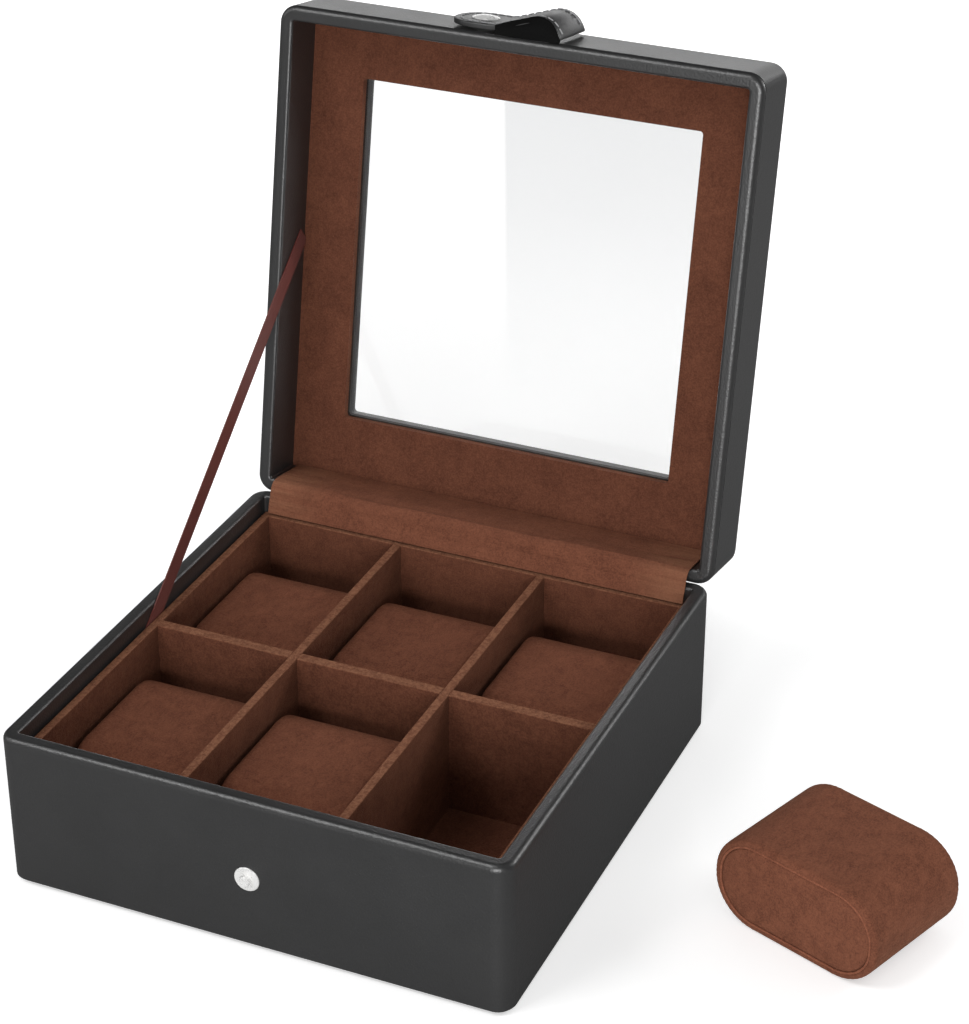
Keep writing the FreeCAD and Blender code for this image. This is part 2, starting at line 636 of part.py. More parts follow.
def snap_socket():
    """The ring on the strap's inner face that springs over the stud."""
    hole = STUD_HEAD_DIAMETER / 2 + SNAP_CLEARANCE
    outer = SOCKET_DIAMETER / 2
    edge = SOCKET_THICKNESS / 2
    low = STRAP_STAND_OFF - SOCKET_THICKNESS
    return turned([[(hole, low)], [(outer - edge, low)], [(outer, low + edge)], [(outer, STRAP_STAND_OFF)],
                   [(hole, STRAP_STAND_OFF)]])


def snap_cap():
    """The domed button outside, with the tube that passes through both layers to the socket."""
    base = STRAP_STAND_OFF + STRAP_LINING + STRAP_LEATHER
    tube = snap_tube_radius()
    bore = tube - CAP_TUBE
    rim = CAP_DIAMETER / 2
    lip = CAP_HEIGHT / 4
    dome_radius = (rim * rim + (CAP_HEIGHT - lip) ** 2) / (2 * (CAP_HEIGHT - lip))
    half_angle = math.degrees(math.asin(rim / dome_radius))
    dome = arc_points((0, base + CAP_HEIGHT - dome_radius), dome_radius, 90 - half_angle, 90)
    top = STUD_FLANGE + STUD_HEIGHT + SNAP_CLEARANCE
    return turned([[(bore, STRAP_STAND_OFF)], [(tube, STRAP_STAND_OFF)], [(tube, base)], [(rim, base)],
                   dome, [(0, top)], [(bore, top)]])


def strap_pieces():
    line = strap_line()
    return {"strap_leather": strap_layer(line, STRAP_LEATHER),
            "strap_lining": strap_layer(line, -STRAP_LINING),
            "snap_cap": snap_cap(), "snap_socket": snap_socket()}


def strap_axis():
    """Where the strap's swing meets the lid's front wall, so that a quarter turn lays it on the lid."""
    folded_z = LID_RIM + STRAP_FOLDED_EDGE_ABOVE_RIM + STRAP_WIDTH / 2
    x = (STRAP_FOLDED_START_X + folded_z - STRAP_ROOT_Z) / 2
    z = (folded_z - STRAP_FOLDED_START_X + STRAP_ROOT_Z) / 2
    return x, z


def folded(shape):
    x, z = strap_axis()
    turned_back = shape.copy()
    turned_back.rotate(V(x, -HALF_Y, z), V(0, 1, 0), 90)
    return turned_back


# Cushions

def stadium(x0, x1, inset):
    """A prism along X with the cushion's section: flat above and below, rounded at both ends."""
    half = CUSHION_LENGTH / 2 - inset
    height = CUSHION_HEIGHT - 2 * inset
    radius = CUSHION_END_RADIUS - inset
    slab = block(x0, x1, -half, half, inset, inset + height)
    along = [edge for edge in slab.Edges if abs(edge.tangentAt(edge.FirstParameter).x) > 0.99]
    return slab.makeFillet(radius, along)


def cushion():
    half = CUSHION_WIDTH / 2
    pad = stadium(-half + END_PANEL, half - END_PANEL, 0)
    left = stadium(-half, -half + END_PANEL, END_PANEL_INSET)
    right = stadium(half - END_PANEL, half, END_PANEL_INSET)
    return pad, Part.makeCompound([left, right])


def cushion_places():
    """Six places as (x, y, z, turn): three behind the long divider, two in front, one beside the box."""
    row = LONG / 2 + CUSHION_TO_LONG_DIVIDER + CUSHION_LENGTH / 2
    cells = [-CELL_X, -CROSS_DIVIDER_X + CROSS / 2, CROSS_DIVIDER_X + CROSS / 2]
    columns = [left + CUSHION_TO_LEFT + CUSHION_WIDTH / 2 for left in cells]
    floor = FLOOR_TOP + SOFT_CLEARANCE
    places = [(x, row, floor, 0) for x in columns]
    places += [(x, -row, floor, 0) for x in columns[:2]]
    places.append((HALF_X + LOOSE_CUSHION_FROM_SIDE, -LOOSE_CUSHION_FORWARD, 0, LOOSE_CUSHION_ANGLE))
    return places


def cushion_pieces():
    pieces = {}
    for number, (x, y, z, turn) in enumerate(cushion_places(), 1):
        for name, shape in zip(("pad", "end_panels"), cushion()):
            shape.rotate(V(0, 0, 0), V(0, 0, 1), turn)
            shape.translate(V(x, y, z))
            pieces["cushion_{}_{}".format(number, name)] = shape
    return pieces


# Hinge flap and ribbon stay, as they lie with the lid open

def line_meeting(p, toward_p, q, toward_q):
    """Where the line from p meets the line from q, each given with a direction."""
    cross = toward_p[0] * toward_q[1] - toward_p[1] * toward_q[0]
    t = ((q[0] - p[0]) * toward_q[1] - (q[1] - p[1]) * toward_q[0]) / cross
    return (p[0] + t * toward_p[0], p[1] + t * toward_p[1])


def hinge_flap():
    """One sheet from the mat's back edge along the lid's back wall, over the gap, down to the tray."""
    middle = WALL + FLAP_OFF_WALL + FLAP_THICKNESS / 2
    at_mat = opened_point(HALF_Y - middle, MAT_FACE - SOFT_CLEARANCE)
    at_rim = opened_point(HALF_Y - middle, LID_RIM)
    on_tray = (CELL_Y + FLAP_ON_TRAY, TRAY_TOP + SOFT_CLEARANCE + FLAP_THICKNESS / 2)
    inside_rim = (HALF_Y - middle, BASE_HEIGHT)
    along_lid = (at_rim[0] - at_mat[0], at_rim[1] - at_mat[1])
    along_tray = (inside_rim[0] - on_tray[0], inside_rim[1] - on_tray[1])
    turn = line_meeting(at_mat, along_lid, on_tray, along_tray)
    path = Part.makePolygon([V(0, y, z) for y, z in (at_mat, turn, on_tray)])
    centre_line = rounded_path(path, FLAP_BEND)
    near = centre_line.makeOffset2D(FLAP_THICKNESS / 2, 0, False, True)
    far = centre_line.makeOffset2D(-FLAP_THICKNESS / 2, 0, False, True)
    ends = [Part.makeLine(near.OrderedVertexes[index].Point, far.OrderedVertexes[index].Point)
            for index in (0, -1)]
    outline = Part.Wire(Part.__sortEdges__(near.Edges + far.Edges + ends))
    half_width = HALF_X - WALL - FLAP_TO_SIDE_WALL
    sheet = Part.Face(outline).extrude(V(2 * half_width, 0, 0))
    sheet.translate(V(-half_width, 0, 0))
    return sheet


def rounded_path(path, radius):
    """A path of two runs with an arc in place of its corner."""
    start, corner, end = [vertex.Point for vertex in path.OrderedVertexes]
    back = (start - corner).normalize()
    ahead = (end - corner).normalize()
    half_angle = back.getAngle(ahead) / 2
    trim = radius / math.tan(half_angle)
    first = corner + back * trim
    last = corner + ahead * trim
    bisector = (back + ahead).normalize()
    middle = corner + bisector * (radius / math.sin(half_angle) - radius)
    return Part.Wire([Part.makeLine(start, first), Part.Arc(first, middle, last).toShape(),
                      Part.makeLine(last, end)])


def ribbon_stay():
    """A flat band from the slot beside the tray's left panel up to the lid's mat."""
    slot_middle = -(TRAY_OUT_X + TRAY_SIDE_SLOT / 2)
    low = V(slot_middle, RIBBON_LOW_Y, TRAY_TOP - RIBBON_LOW_BELOW_TRAY)
    y, z = opened_point(RIBBON_HIGH_Y, MAT_FACE - RIBBON_HIGH_BELOW_MAT)
    high = V(slot_middle, y, z)
    run = high - low
    band = block(-RIBBON_THICKNESS / 2, RIBBON_THICKNESS / 2, -RIBBON_WIDTH / 2, RIBBON_WIDTH / 2,
                 0, run.Length + RIBBON_WIDTH)
    band.rotate(V(0, 0, 0), V(1, 0, 0), -math.degrees(math.atan2(run.y, run.z)))
    band.translate(low)
    behind_mat = block(-BOX_WIDTH, BOX_WIDTH, -BOX_DEPTH, BOX_DEPTH, MAT_FACE - SOFT_CLEARANCE, 2 * LID_TOP)
    return band.cut(opened(behind_mat))


def all_pieces():
    pieces = base_pieces()
    pieces.update(tray_pieces())
    pieces["snap_stud"] = snap_stud()
    pieces["snap_stud_rivet"] = snap_rivet()
    pieces["hinge_base_leaves"] = Part.makeCompound(both_hinges(lambda x: hinge_leaf(x, -1)))
    pieces["hinge_pins"] = Part.makeCompound(both_hinges(
        lambda x: barrel(x - LEAF_LENGTH / 2, x + LEAF_LENGTH / 2, PIN_DIAMETER / 2)))
    places = screw_places(-HINGE_X) + screw_places(HINGE_X)
    pieces["hinge_base_screws"] = Part.makeCompound([screw(x, y, -1, 0) for x, y in places])
    on_lid = lid_pieces()
    on_lid["hinge_lid_leaves"] = Part.makeCompound(both_hinges(lambda x: hinge_leaf(x, 1)))
    on_lid["hinge_lid_screws"] = Part.makeCompound([screw(x, y, 1, 0) for x, y in places])
    for name, shape in strap_pieces().items():
        on_lid[name] = folded(shape)
    for name, shape in on_lid.items():
        pieces[name] = opened(shape)
    pieces["hinge_flap"] = hinge_flap()
    pieces["ribbon_stay"] = ribbon_stay()
    pieces.update(cushion_pieces())
    return pieces


def main():
    os.makedirs("parts", exist_ok=True)
    for name, shape in all_pieces().items():
        shape.exportStep("parts/" + name + ".step")
        sound = all(solid.isValid() for solid in shape.Solids)
        print(name, len(shape.Solids), round(shape.Volume, 1), "valid" if sound else "NOT VALID")


main()
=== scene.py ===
import json
import math
import random

import bmesh
import bpy
from mathutils import Matrix, Vector


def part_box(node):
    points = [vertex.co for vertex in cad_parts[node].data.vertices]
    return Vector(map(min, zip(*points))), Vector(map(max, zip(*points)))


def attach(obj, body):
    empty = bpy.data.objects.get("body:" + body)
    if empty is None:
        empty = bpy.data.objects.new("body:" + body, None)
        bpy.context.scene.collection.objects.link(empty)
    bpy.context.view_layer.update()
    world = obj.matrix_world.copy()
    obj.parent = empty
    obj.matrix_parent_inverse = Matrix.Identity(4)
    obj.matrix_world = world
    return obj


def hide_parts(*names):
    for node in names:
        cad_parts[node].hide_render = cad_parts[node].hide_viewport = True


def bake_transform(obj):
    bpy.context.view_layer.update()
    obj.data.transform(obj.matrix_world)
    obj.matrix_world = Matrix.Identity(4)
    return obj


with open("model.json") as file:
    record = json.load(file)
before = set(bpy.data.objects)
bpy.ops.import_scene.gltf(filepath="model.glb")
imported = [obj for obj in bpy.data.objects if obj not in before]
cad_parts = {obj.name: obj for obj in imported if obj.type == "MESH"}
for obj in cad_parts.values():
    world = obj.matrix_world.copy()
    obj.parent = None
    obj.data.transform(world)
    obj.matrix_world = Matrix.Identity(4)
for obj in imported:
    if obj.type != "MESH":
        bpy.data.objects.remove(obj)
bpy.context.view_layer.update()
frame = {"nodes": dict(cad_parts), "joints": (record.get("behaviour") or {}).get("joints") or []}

bl_info = {
    "name": "Watch Display Box",
    "version": (1, 0, 0),
    "blender": (4, 5, 0),
    "location": "3D View > Sidebar > Display Box",
    "description": "Leather, suede, foam, glass and steel for a display box that holds six watches",
    "category": "Object",
}

MM = 0.001
CUSHION_NUMBERS = (1, 2, 3, 4, 5, 6)
LOOSE_CUSHION = 6
OPEN_ANGLE = 100.4
FRONT_WALL_Y = -101 * MM

# The strap as it lies folded on the lid's front wall, in the lid's closed position
STRAP_WIDTH = 26 * MM
STRAP_LENGTH = 48 * MM
STRAP_ROOT = 0.6 * MM
STRAP_TIP_CORNER = 12 * MM
SNAP_FROM_TIP = 12 * MM
SNAP_BORE = 2.95 * MM
STRAP_START_X = 17.6 * MM
STRAP_NEAR_EDGE_Z = 66.0 * MM
STRAP_LINING = 0.9 * MM
STRAP_LEATHER = 1.2 * MM

# The line between the folded strap's lining and leather. Each pair is a distance from the strap's root
# and a height over the wall.
ROOT_END = (1.908 * MM, 3.549 * MM)
ROOT_SLOPE = math.tan(math.radians(62))
ARCH_CENTRE = (8.972 * MM, -0.207 * MM)
ARCH_RADIUS = 8 * MM
ARCH_END = (11.444 * MM, 7.402 * MM)
FALL_SLOPE = -math.tan(math.radians(18))
FOOT_START = 25.344 * MM
FOOT_CENTRE = (29.67 * MM, 16.2 * MM)
FOOT_RADIUS = 14 * MM
TIP_HEIGHT = 2.2 * MM

# The strap's leather below the arch, painted near-black as the shade there: how far it reaches along the
# strap, its thickness and its hollow
WEB_REACH = 26.5 * MM
WEB_THICKNESS = 0.9 * MM
WEB_HOLLOW = 1.6 * MM

# The hinge flap's middle from the mat's edge to the tray as the lid stands open, as (y, z) in mm
FLAP_ROUTE = ((121.14, 65.42), (114.0, 66.73), (108.0, 67.84), (103.5, 68.66), (100.6, 69.15),
              (98.6, 69.12), (97.0, 68.2), (95.95, 66.9), (95.35, 65.2), (94.8, 63.5),
              (94.1, 61.8), (93.5, 60.2), (92.95, 58.6), (92.55, 57.25))
FLAP_STRIPS = 46

# Creases of the flap: the y and z of the line that each follows, its left and right end, all in mm, and
# its share of the crease depth, above the sheet or below it
FLAP_CREASES = ((100.6, 69.15, -60, 35, -1.0), (98.6, 69.12, -30, 80, 0.7),
                (95.35, 65.2, -85, -20, -0.8), (95.35, 65.2, 15, 75, -0.9),
                (93.5, 60.2, -50, 30, 0.6), (108.0, 67.84, 20, 85, -0.5))
CREASE_REACH = 2.6 * MM

# The y and z of the ribbon's ends: behind the tray's left panel, and behind the window mat
RIBBON_LOW_END = (-8.0 * MM, 48.3 * MM)
RIBBON_HIGH_END = (137.6 * MM, 164.0 * MM)

FLOOR_SIZE = 12

# The floor's glow is scaled by the first factor up to the first distance from the box's middle, and by
# the second factor from the second distance on
GLOW_DISTANCES = (0.2, 0.7)
GLOW_FACTORS = (0.95, 1.75)

# Each soft lamp's name, its place, the point that it faces, its width and height, and its power in watts
SOFTBOXES = (
    ("softbox_above", (-0.7, -0.9, 1.7), (0, 0.05, 0), (0.8, 0.8), 12),
    ("softbox_left", (-1.8, -0.6, 1.0), (0, 0, 0.1), (0.8, 0.8), 4),
    ("softbox_front", (0.6, -2.1, 0.55), (0, 0, 0.1), (1.0, 0.8), 29),
    ("softbox_right", (0.75, 0.6, 0.5), (0.12, 0, 0), (0.35, 0.35), 2.6),
    ("softbox_back", (-0.4, 2.3, 0.38), (0, 0.2, 0.1), (2.4, 0.4), 8),
)


# Sizes and colours that can be changed in the sidebar

class DisplayBoxFinish(bpy.types.PropertyGroup):
    leather_colour: bpy.props.FloatVectorProperty(
        name="Leather", description="Colour of the black leather", subtype="COLOR",
        default=(0.018, 0.018, 0.0184), min=0, max=1)
    leather_pebble: bpy.props.FloatProperty(
        name="Leather pebble", description="Width of one pebble of the leather's grain",
        unit="LENGTH", default=0.9 * MM)
    suede_dark: bpy.props.FloatVectorProperty(
        name="Suede, brushed down", description="Suede colour where the nap lies flat",
        subtype="COLOR", default=(0.074, 0.0255, 0.0150), min=0, max=1)
    suede_light: bpy.props.FloatVectorProperty(
        name="Suede, brushed up", description="Suede colour where the nap stands up",
        subtype="COLOR", default=(0.158, 0.0585, 0.0330), min=0, max=1)
    # Paler suede: along the tray's top edges it is rubbed nap and a painted highlight together, along the
    # flap's creases near its ends a painted highlight
    suede_highlight: bpy.props.FloatVectorProperty(
        name="Suede, worn", description="Suede colour along the rubbed top edges",
        subtype="COLOR", default=(0.26, 0.118, 0.066), min=0, max=1)
    ribbon_colour: bpy.props.FloatVectorProperty(
        name="Ribbon", description="Colour of the satin ribbon", subtype="COLOR",
        default=(0.150, 0.034, 0.026), min=0, max=1)


class DisplayBoxCushions(bpy.types.PropertyGroup):
    shoulder: bpy.props.FloatProperty(
        name="Shoulder", description="Rounding of the wrap where it turns over the foam's end",
        unit="LENGTH", default=1.9 * MM)
    rim: bpy.props.FloatProperty(
        name="Rim", description="Width of the wrap's turned edge round an end panel",
        unit="LENGTH", default=0.5 * MM)
    recess: bpy.props.FloatProperty(
        name="Recess", description="Depth of the hollow that an end panel sits in",
        unit="LENGTH", default=1.7 * MM)
    panel_gap: bpy.props.FloatProperty(
        name="Panel gap", description="Open line between the turned edge and an end panel",
        unit="LENGTH", default=0.9 * MM)
    welt: bpy.props.FloatProperty(
        name="Welt", description="Thickness of the cord sewn round an end panel",
        unit="LENGTH", default=0.9 * MM)
    crown: bpy.props.FloatProperty(
        name="Crown", description="Most that the foam may push a point of the wrap outwards",
        unit="LENGTH", default=1.1 * MM)
    loose_turn: bpy.props.FloatProperty(
        name="Loose cushion's turn", description="How far the sixth cushion is turned on the table",
        subtype="ANGLE", default=math.radians(69.7))


class DisplayBoxSheets(bpy.types.PropertyGroup):
    flap_thickness: bpy.props.FloatProperty(
        name="Flap thickness", description="Thickness of the suede hinge flap",
        unit="LENGTH", default=0.6 * MM)
    crease_depth: bpy.props.FloatProperty(
        name="Crease depth", description="Depth of the creases along the flap's bend",
        unit="LENGTH", default=0.7 * MM)
    ribbon_width: bpy.props.FloatProperty(
        name="Ribbon width", description="Width of the ribbon stay",
        unit="LENGTH", default=8 * MM)
    ribbon_thickness: bpy.props.FloatProperty(
        name="Ribbon thickness", description="Thickness of the ribbon stay",
        unit="LENGTH", default=0.35 * MM)


class DisplayBoxSeams(bpy.types.PropertyGroup):
    stitch_length: bpy.props.FloatProperty(
        name="Stitch", description="Length of one stitch on the strap",
        unit="LENGTH", default=2.1 * MM)
    stitch_pitch: bpy.props.FloatProperty(
        name="Pitch", description="From one stitch to the next", unit="LENGTH", default=3.1 * MM)
    thread: bpy.props.FloatProperty(
        name="Thread", description="Thickness of the thread", unit="LENGTH", default=0.65 * MM)
    inset: bpy.props.FloatProperty(
        name="Inset", description="From the strap's edge to the seam",
        unit="LENGTH", default=2.6 * MM)


class DisplayBoxStudio(bpy.types.PropertyGroup):
    lens: bpy.props.FloatProperty(
        name="Lens", description="Focal length of the camera",
        subtype="DISTANCE_CAMERA", default=96.65)
    azimuth: bpy.props.FloatProperty(
        name="Azimuth", description="How far the camera stands round to the box's right",
        subtype="ANGLE", default=math.radians(23.55))
    elevation: bpy.props.FloatProperty(
        name="Elevation", description="How high the camera looks down from",
        subtype="ANGLE", default=math.radians(29.45))
    distance: bpy.props.FloatProperty(
        name="Distance", description="From the camera to its target",
        unit="LENGTH", default=1173.2 * MM)
    target: bpy.props.FloatVectorProperty(
        name="Target", description="The point that the camera looks at",
        subtype="TRANSLATION", default=(-21.43 * MM, 156.80 * MM, 40.0 * MM))
    room_light: bpy.props.FloatProperty(
        name="Room light", description="Brightness of the surroundings as they light the box",
        subtype="FACTOR", default=0.45)
    room_gloss: bpy.props.FloatProperty(
        name="Room in reflections", description="Brightness of the surroundings in reflections",
        subtype="FACTOR", default=0.03)
    floor_gloss: bpy.props.FloatProperty(
        name="Floor in reflections", description="Share of the floor's colour that reflections see",
        subtype="FACTOR", default=0.27)
    floor_glow: bpy.props.FloatProperty(
        name="Floor glow", description="Light added to the floor so that it fades to white",
        subtype="FACTOR", default=0.42)
    window_glow: bpy.props.FloatProperty(
        name="Floor glow through glass",
        description="Light added to the floor as the window shows it",
        subtype="FACTOR", default=0.22)
    floor_colour: bpy.props.FloatVectorProperty(
        name="Floor", description="Colour of the studio floor", subtype="COLOR",
        default=(0.86, 0.86, 0.86), min=0, max=1)


# Modelling helpers

def deselect_all():
    if bpy.context.object is not None and bpy.context.object.mode != "OBJECT":
        bpy.ops.object.mode_set(mode="OBJECT")
    bpy.ops.object.select_all(action="DESELECT")


def only(piece):
    """Makes a piece the one selected and active object."""
    deselect_all()
    piece.select_set(True)
    bpy.context.view_layer.objects.active = piece


def edit(piece):
    only(piece)
    bpy.ops.object.mode_set(mode="EDIT")
    bpy.ops.mesh.select_all(action="DESELECT")


def done_editing():
    bpy.ops.object.mode_set(mode="OBJECT")


def choose(piece, kind, test):
    """In edit mode, selects the vertices, edges or faces that pass a test."""
    bpy.ops.mesh.select_all(action="DESELECT")
    bpy.ops.mesh.select_mode(type=kind)
    mesh = bmesh.from_edit_mesh(piece.data)
    parts = {"VERT": mesh.verts, "EDGE": mesh.edges, "FACE": mesh.faces}[kind]
    for part in parts:
        if test(part):
            part.select_set(True)
    mesh.select_flush_mode()
    bmesh.update_edit_mesh(piece.data)


def slice_through(points, direction):
    """In edit mode, cuts the whole mesh at each of the points, square to a direction."""
    for point in points:
        bpy.ops.mesh.select_all(action="SELECT")
        bpy.ops.mesh.bisect(plane_co=point, plane_no=direction)


def push(move, reach):
    """In edit mode, moves what is selected and draws along what lies within reach of it."""
    bpy.ops.transform.translate(value=move, use_proportional_edit=True, proportional_size=reach,
                                proportional_edit_falloff="SMOOTH")


def named(name):
    """Names the primitive that was just added."""
    piece = bpy.context.object
    piece.name = name
    return piece


def shaped(name, size, place, turn=(0, 0, 0)):
    """Names the primitive that was just added, and puts its size, turn and place into its mesh."""
    piece = named(name)
    piece.scale = size
    piece.rotation_euler = turn
    piece.location = place
    bpy.ops.object.transform_apply(location=True, rotation=True, scale=True)
    return piece


def slab(name, low, high):
    """A block between two corners."""
    deselect_all()
    bpy.ops.mesh.primitive_cube_add(size=1)
    return shaped(name, Vector(high) - Vector(low), (Vector(low) + Vector(high)) / 2)


def flat_sheet(name, length, width, place=(0, 0, 0), turn=(0, 0, 0)):
    """A sheet of one face, its length along X and its width along Y before it is turned."""
    deselect_all()
    bpy.ops.mesh.primitive_plane_add(size=1)
    return shaped(name, (length, width, 1), place, turn)


def modify(piece, kind, **settings):
    """Adds one modifier with its settings and applies it."""
    only(piece)
    modifier = piece.modifiers.new(kind.title(), kind)
    for key, value in settings.items():
        setattr(modifier, key, value)
    bpy.ops.object.modifier_apply(modifier=modifier.name)


def recalculate(piece):
    """Merges doubled points and turns all faces outwards."""
    edit(piece)
    bpy.ops.mesh.select_all(action="SELECT")
    bpy.ops.mesh.remove_doubles(threshold=0.01 * MM)
    bpy.ops.mesh.normals_make_consistent(inside=False)
    done_editing()


def smooth(piece, angle):
    only(piece)
    bpy.ops.object.shade_smooth_by_angle(angle=math.radians(angle))


def copy_of(piece, name, place=Matrix.Identity(4)):
    """A copy with its own mesh, moved by a matrix that goes into the mesh."""
    twin = piece.copy()
    twin.data = piece.data.copy()
    twin.name = name
    bpy.context.scene.collection.objects.link(twin)
    twin.data.transform(place)
    return twin


def join(pieces, name):
    deselect_all()
    for piece in pieces:
        piece.select_set(True)
    bpy.context.view_layer.objects.active = pieces[0]
    bpy.ops.object.join()
    pieces[0].name = name
    return pieces[0]


def delete(piece):
    only(piece)
    bpy.ops.object.delete()


def wear(piece, material):
    piece.data.materials.clear()
    piece.data.materials.append(material)


# The strap's line

def opened():
    """The matrix from the lid's closed place to its open one."""
    joint = next(joint for joint in frame["joints"] if joint["name"] == "lid_hinge")
    axis_point = Vector(joint["pos_m"])
    turn = Matrix.Rotation(math.radians(-OPEN_ANGLE), 4, "X")
    return Matrix.Translation(axis_point) @ turn @ Matrix.Translation(-axis_point)


def closed_to_rest(x, out, z):
    """A point in front of the lid's closed front wall, carried to where the open lid has it."""
    return opened() @ Vector((x, FRONT_WALL_Y + out, z))


def strap_height(s):
    """Height over the wall of the line between lining and leather, and its slope, at s from the root."""
    if s < ROOT_END[0]:
        return ROOT_END[1] - (ROOT_END[0] - s) * ROOT_SLOPE, ROOT_SLOPE
    if s < ARCH_END[0]:
        run = s - ARCH_CENTRE[0]
        rise = math.sqrt(ARCH_RADIUS ** 2 - run ** 2)
        return ARCH_CENTRE[1] + rise, -run / rise
    if s < FOOT_START:
        return ARCH_END[1] + (s - ARCH_END[0]) * FALL_SLOPE, FALL_SLOPE
    if s < FOOT_CENTRE[0]:
        run = s - FOOT_CENTRE[0]
        drop = math.sqrt(FOOT_RADIUS ** 2 - run ** 2)
        return FOOT_CENTRE[1] - drop, run / drop
    return TIP_HEIGHT, 0.0


def strap_point(u, s, rise=STRAP_LEATHER):
    """A point of the folded strap, u across, s along and rise above its lining, and the way outwards."""
    height, slope = strap_height(s)
    out = Vector((slope, 1, 0)).normalized()
    z = STRAP_NEAR_EDGE_Z + STRAP_WIDTH / 2 - u
    x = STRAP_START_X - s
    spot = closed_to_rest(x + out.x * rise, -height - out.y * rise, z)
    ahead = closed_to_rest(x + out.x * (rise + MM), -height - out.y * (rise + MM), z)
    return spot, (ahead - spot).normalized()


# Material helpers

def tinted(colour, factor):
    """A colour made lighter or darker."""
    return tuple(channel * factor for channel in colour)


def node_of(tree, kind):
    """The node of a kind that a new tree comes with."""
    return next(node for node in tree.nodes if node.type == kind)


def feed(tree, socket, value):
    """Gives a socket a number, a colour or another node's output."""
    if isinstance(value, bpy.types.NodeSocket):
        tree.links.new(value, socket)
    elif isinstance(value, (int, float)):
        socket.default_value = value
    else:
        socket.default_value = (*value, 1)


def arithmetic(tree, operation, first, second, clamp=False):
    node = tree.nodes.new("ShaderNodeMath")
    node.operation = operation
    node.use_clamp = clamp
    feed(tree, node.inputs[0], first)
    feed(tree, node.inputs[1], second)
    return node.outputs["Value"]


def by_ray(tree, lighting, reflected, seen, passed):
    """A number that depends on what a ray is for: to light, reflect, see directly or see through glass."""
    path = tree.nodes.new("ShaderNodeLightPath")
    through = path.outputs["Is Transmission Ray"]
    mirrored = arithmetic(tree, "SUBTRACT", path.outputs["Is Glossy Ray"], through, clamp=True)
    total = lighting
    for flag, number in ((mirrored, reflected), (path.outputs["Is Camera Ray"], seen), (through, passed)):
        total = arithmetic(tree, "ADD", arithmetic(tree, "MULTIPLY", flag, number - lighting), total)
    return total


class Finish:
    """A material with one principled shader, and short ways to add nodes that feed it."""

    def __init__(self, name, **constants):
        self.material = bpy.data.materials.new(name)
        self.material.use_nodes = True
        self.tree = self.material.node_tree
        self.shader = node_of(self.tree, "BSDF_PRINCIPLED")
        for key, value in constants.items():
            self.shader.inputs[key.replace("_", " ")].default_value = value
        self.place = self.add("ShaderNodeTexCoord").outputs["Object"]

    def add(self, kind, **settings):
        node = self.tree.nodes.new(kind)
        for key, value in settings.items():
            setattr(node, key, value)
        return node

    def link(self, source, target):
        self.tree.links.new(source, target)

    def axis(self, name):
        """One of the piece's own coordinates."""
        split = self.add("ShaderNodeSeparateXYZ")
        self.link(self.place, split.inputs["Vector"])
        return split.outputs[name]

    def stretched(self, stretch):
        """The piece's own coordinates, scaled along each axis."""
        mapping = self.add("ShaderNodeMapping")
        mapping.inputs["Scale"].default_value = stretch
        self.link(self.place, mapping.inputs["Vector"])
        return mapping.outputs["Vector"]

    def noise(self, size, detail=3, roughness=0.5, distortion=0, at=None):
        node = self.add("ShaderNodeTexNoise")
        for key, number in (("Scale", 1 / size), ("Detail", detail), ("Roughness", roughness),
                            ("Distortion", distortion)):
            node.inputs[key].default_value = number
        self.link(at or self.place, node.inputs["Vector"])
        return node.outputs["Fac"]

    def cells(self, size):
        node = self.add("ShaderNodeTexVoronoi")
        node.inputs["Scale"].default_value = 1 / size
        self.link(self.place, node.inputs["Vector"])
        return node.outputs["Distance"]

    def spread(self, value, low, high, to_low=0.0, to_high=1.0):
        node = self.add("ShaderNodeMapRange")
        for key, number in (("From Min", low), ("From Max", high), ("To Min", to_low), ("To Max", to_high)):
            node.inputs[key].default_value = number
        self.link(value, node.inputs["Value"])
        return node.outputs["Result"]

    def work(self, operation, first, second):
        return arithmetic(self.tree, operation, first, second)

    def blend(self, share, first, second):
        """A colour between two."""
        node = self.add("ShaderNodeMix", data_type="RGBA")
        self.link(share, node.inputs["Factor"])
        feed(self.tree, node.inputs[6], first)
        feed(self.tree, node.inputs[7], second)
        return node.outputs[2]

    def bump(self, height, distance, before=None):
        node = self.add("ShaderNodeBump")
        node.inputs["Distance"].default_value = distance
        node.inputs["Strength"].default_value = 1
        self.link(height, node.inputs["Height"])
        if before is not None:
            self.link(before, node.inputs["Normal"])
        return node.outputs["Normal"]

    def finish(self, colour, roughness=None, normal=None):
        for source, socket in ((colour, "Base Color"), (roughness, "Roughness"), (normal, "Normal")):
            if source is not None:
                self.link(source, self.shader.inputs[socket])
        return self.material


# Materials

def black_leather(sizes):
    """Smooth black leather: a fine pebble, pores, slow changes of sheen."""
    finish = Finish("black_leather", IOR=1.85)
    pebble = sizes.leather_pebble
    warp = finish.noise(pebble * 2.2, detail=2)
    valley = finish.spread(finish.cells(pebble), 0.15, 0.75)
    pores = finish.noise(pebble * 0.35, detail=2)
    patches = finish.noise(22 * MM)
    colour = sizes.leather_colour
    tone = finish.blend(finish.spread(patches, 0.3, 0.7), colour, tinted(colour, 1.15))
    rough = finish.work("ADD", finish.spread(patches, 0.3, 0.7, 0.38, 0.40),
                        finish.spread(pores, 0.3, 0.7, -0.03, 0.03))
    grain = finish.work("ADD", valley, finish.work("MULTIPLY", warp, 0.8))
    normal = finish.bump(pores, 0.02 * MM, finish.bump(grain, -0.035 * MM))
    return finish.finish(tone, rough, normal)


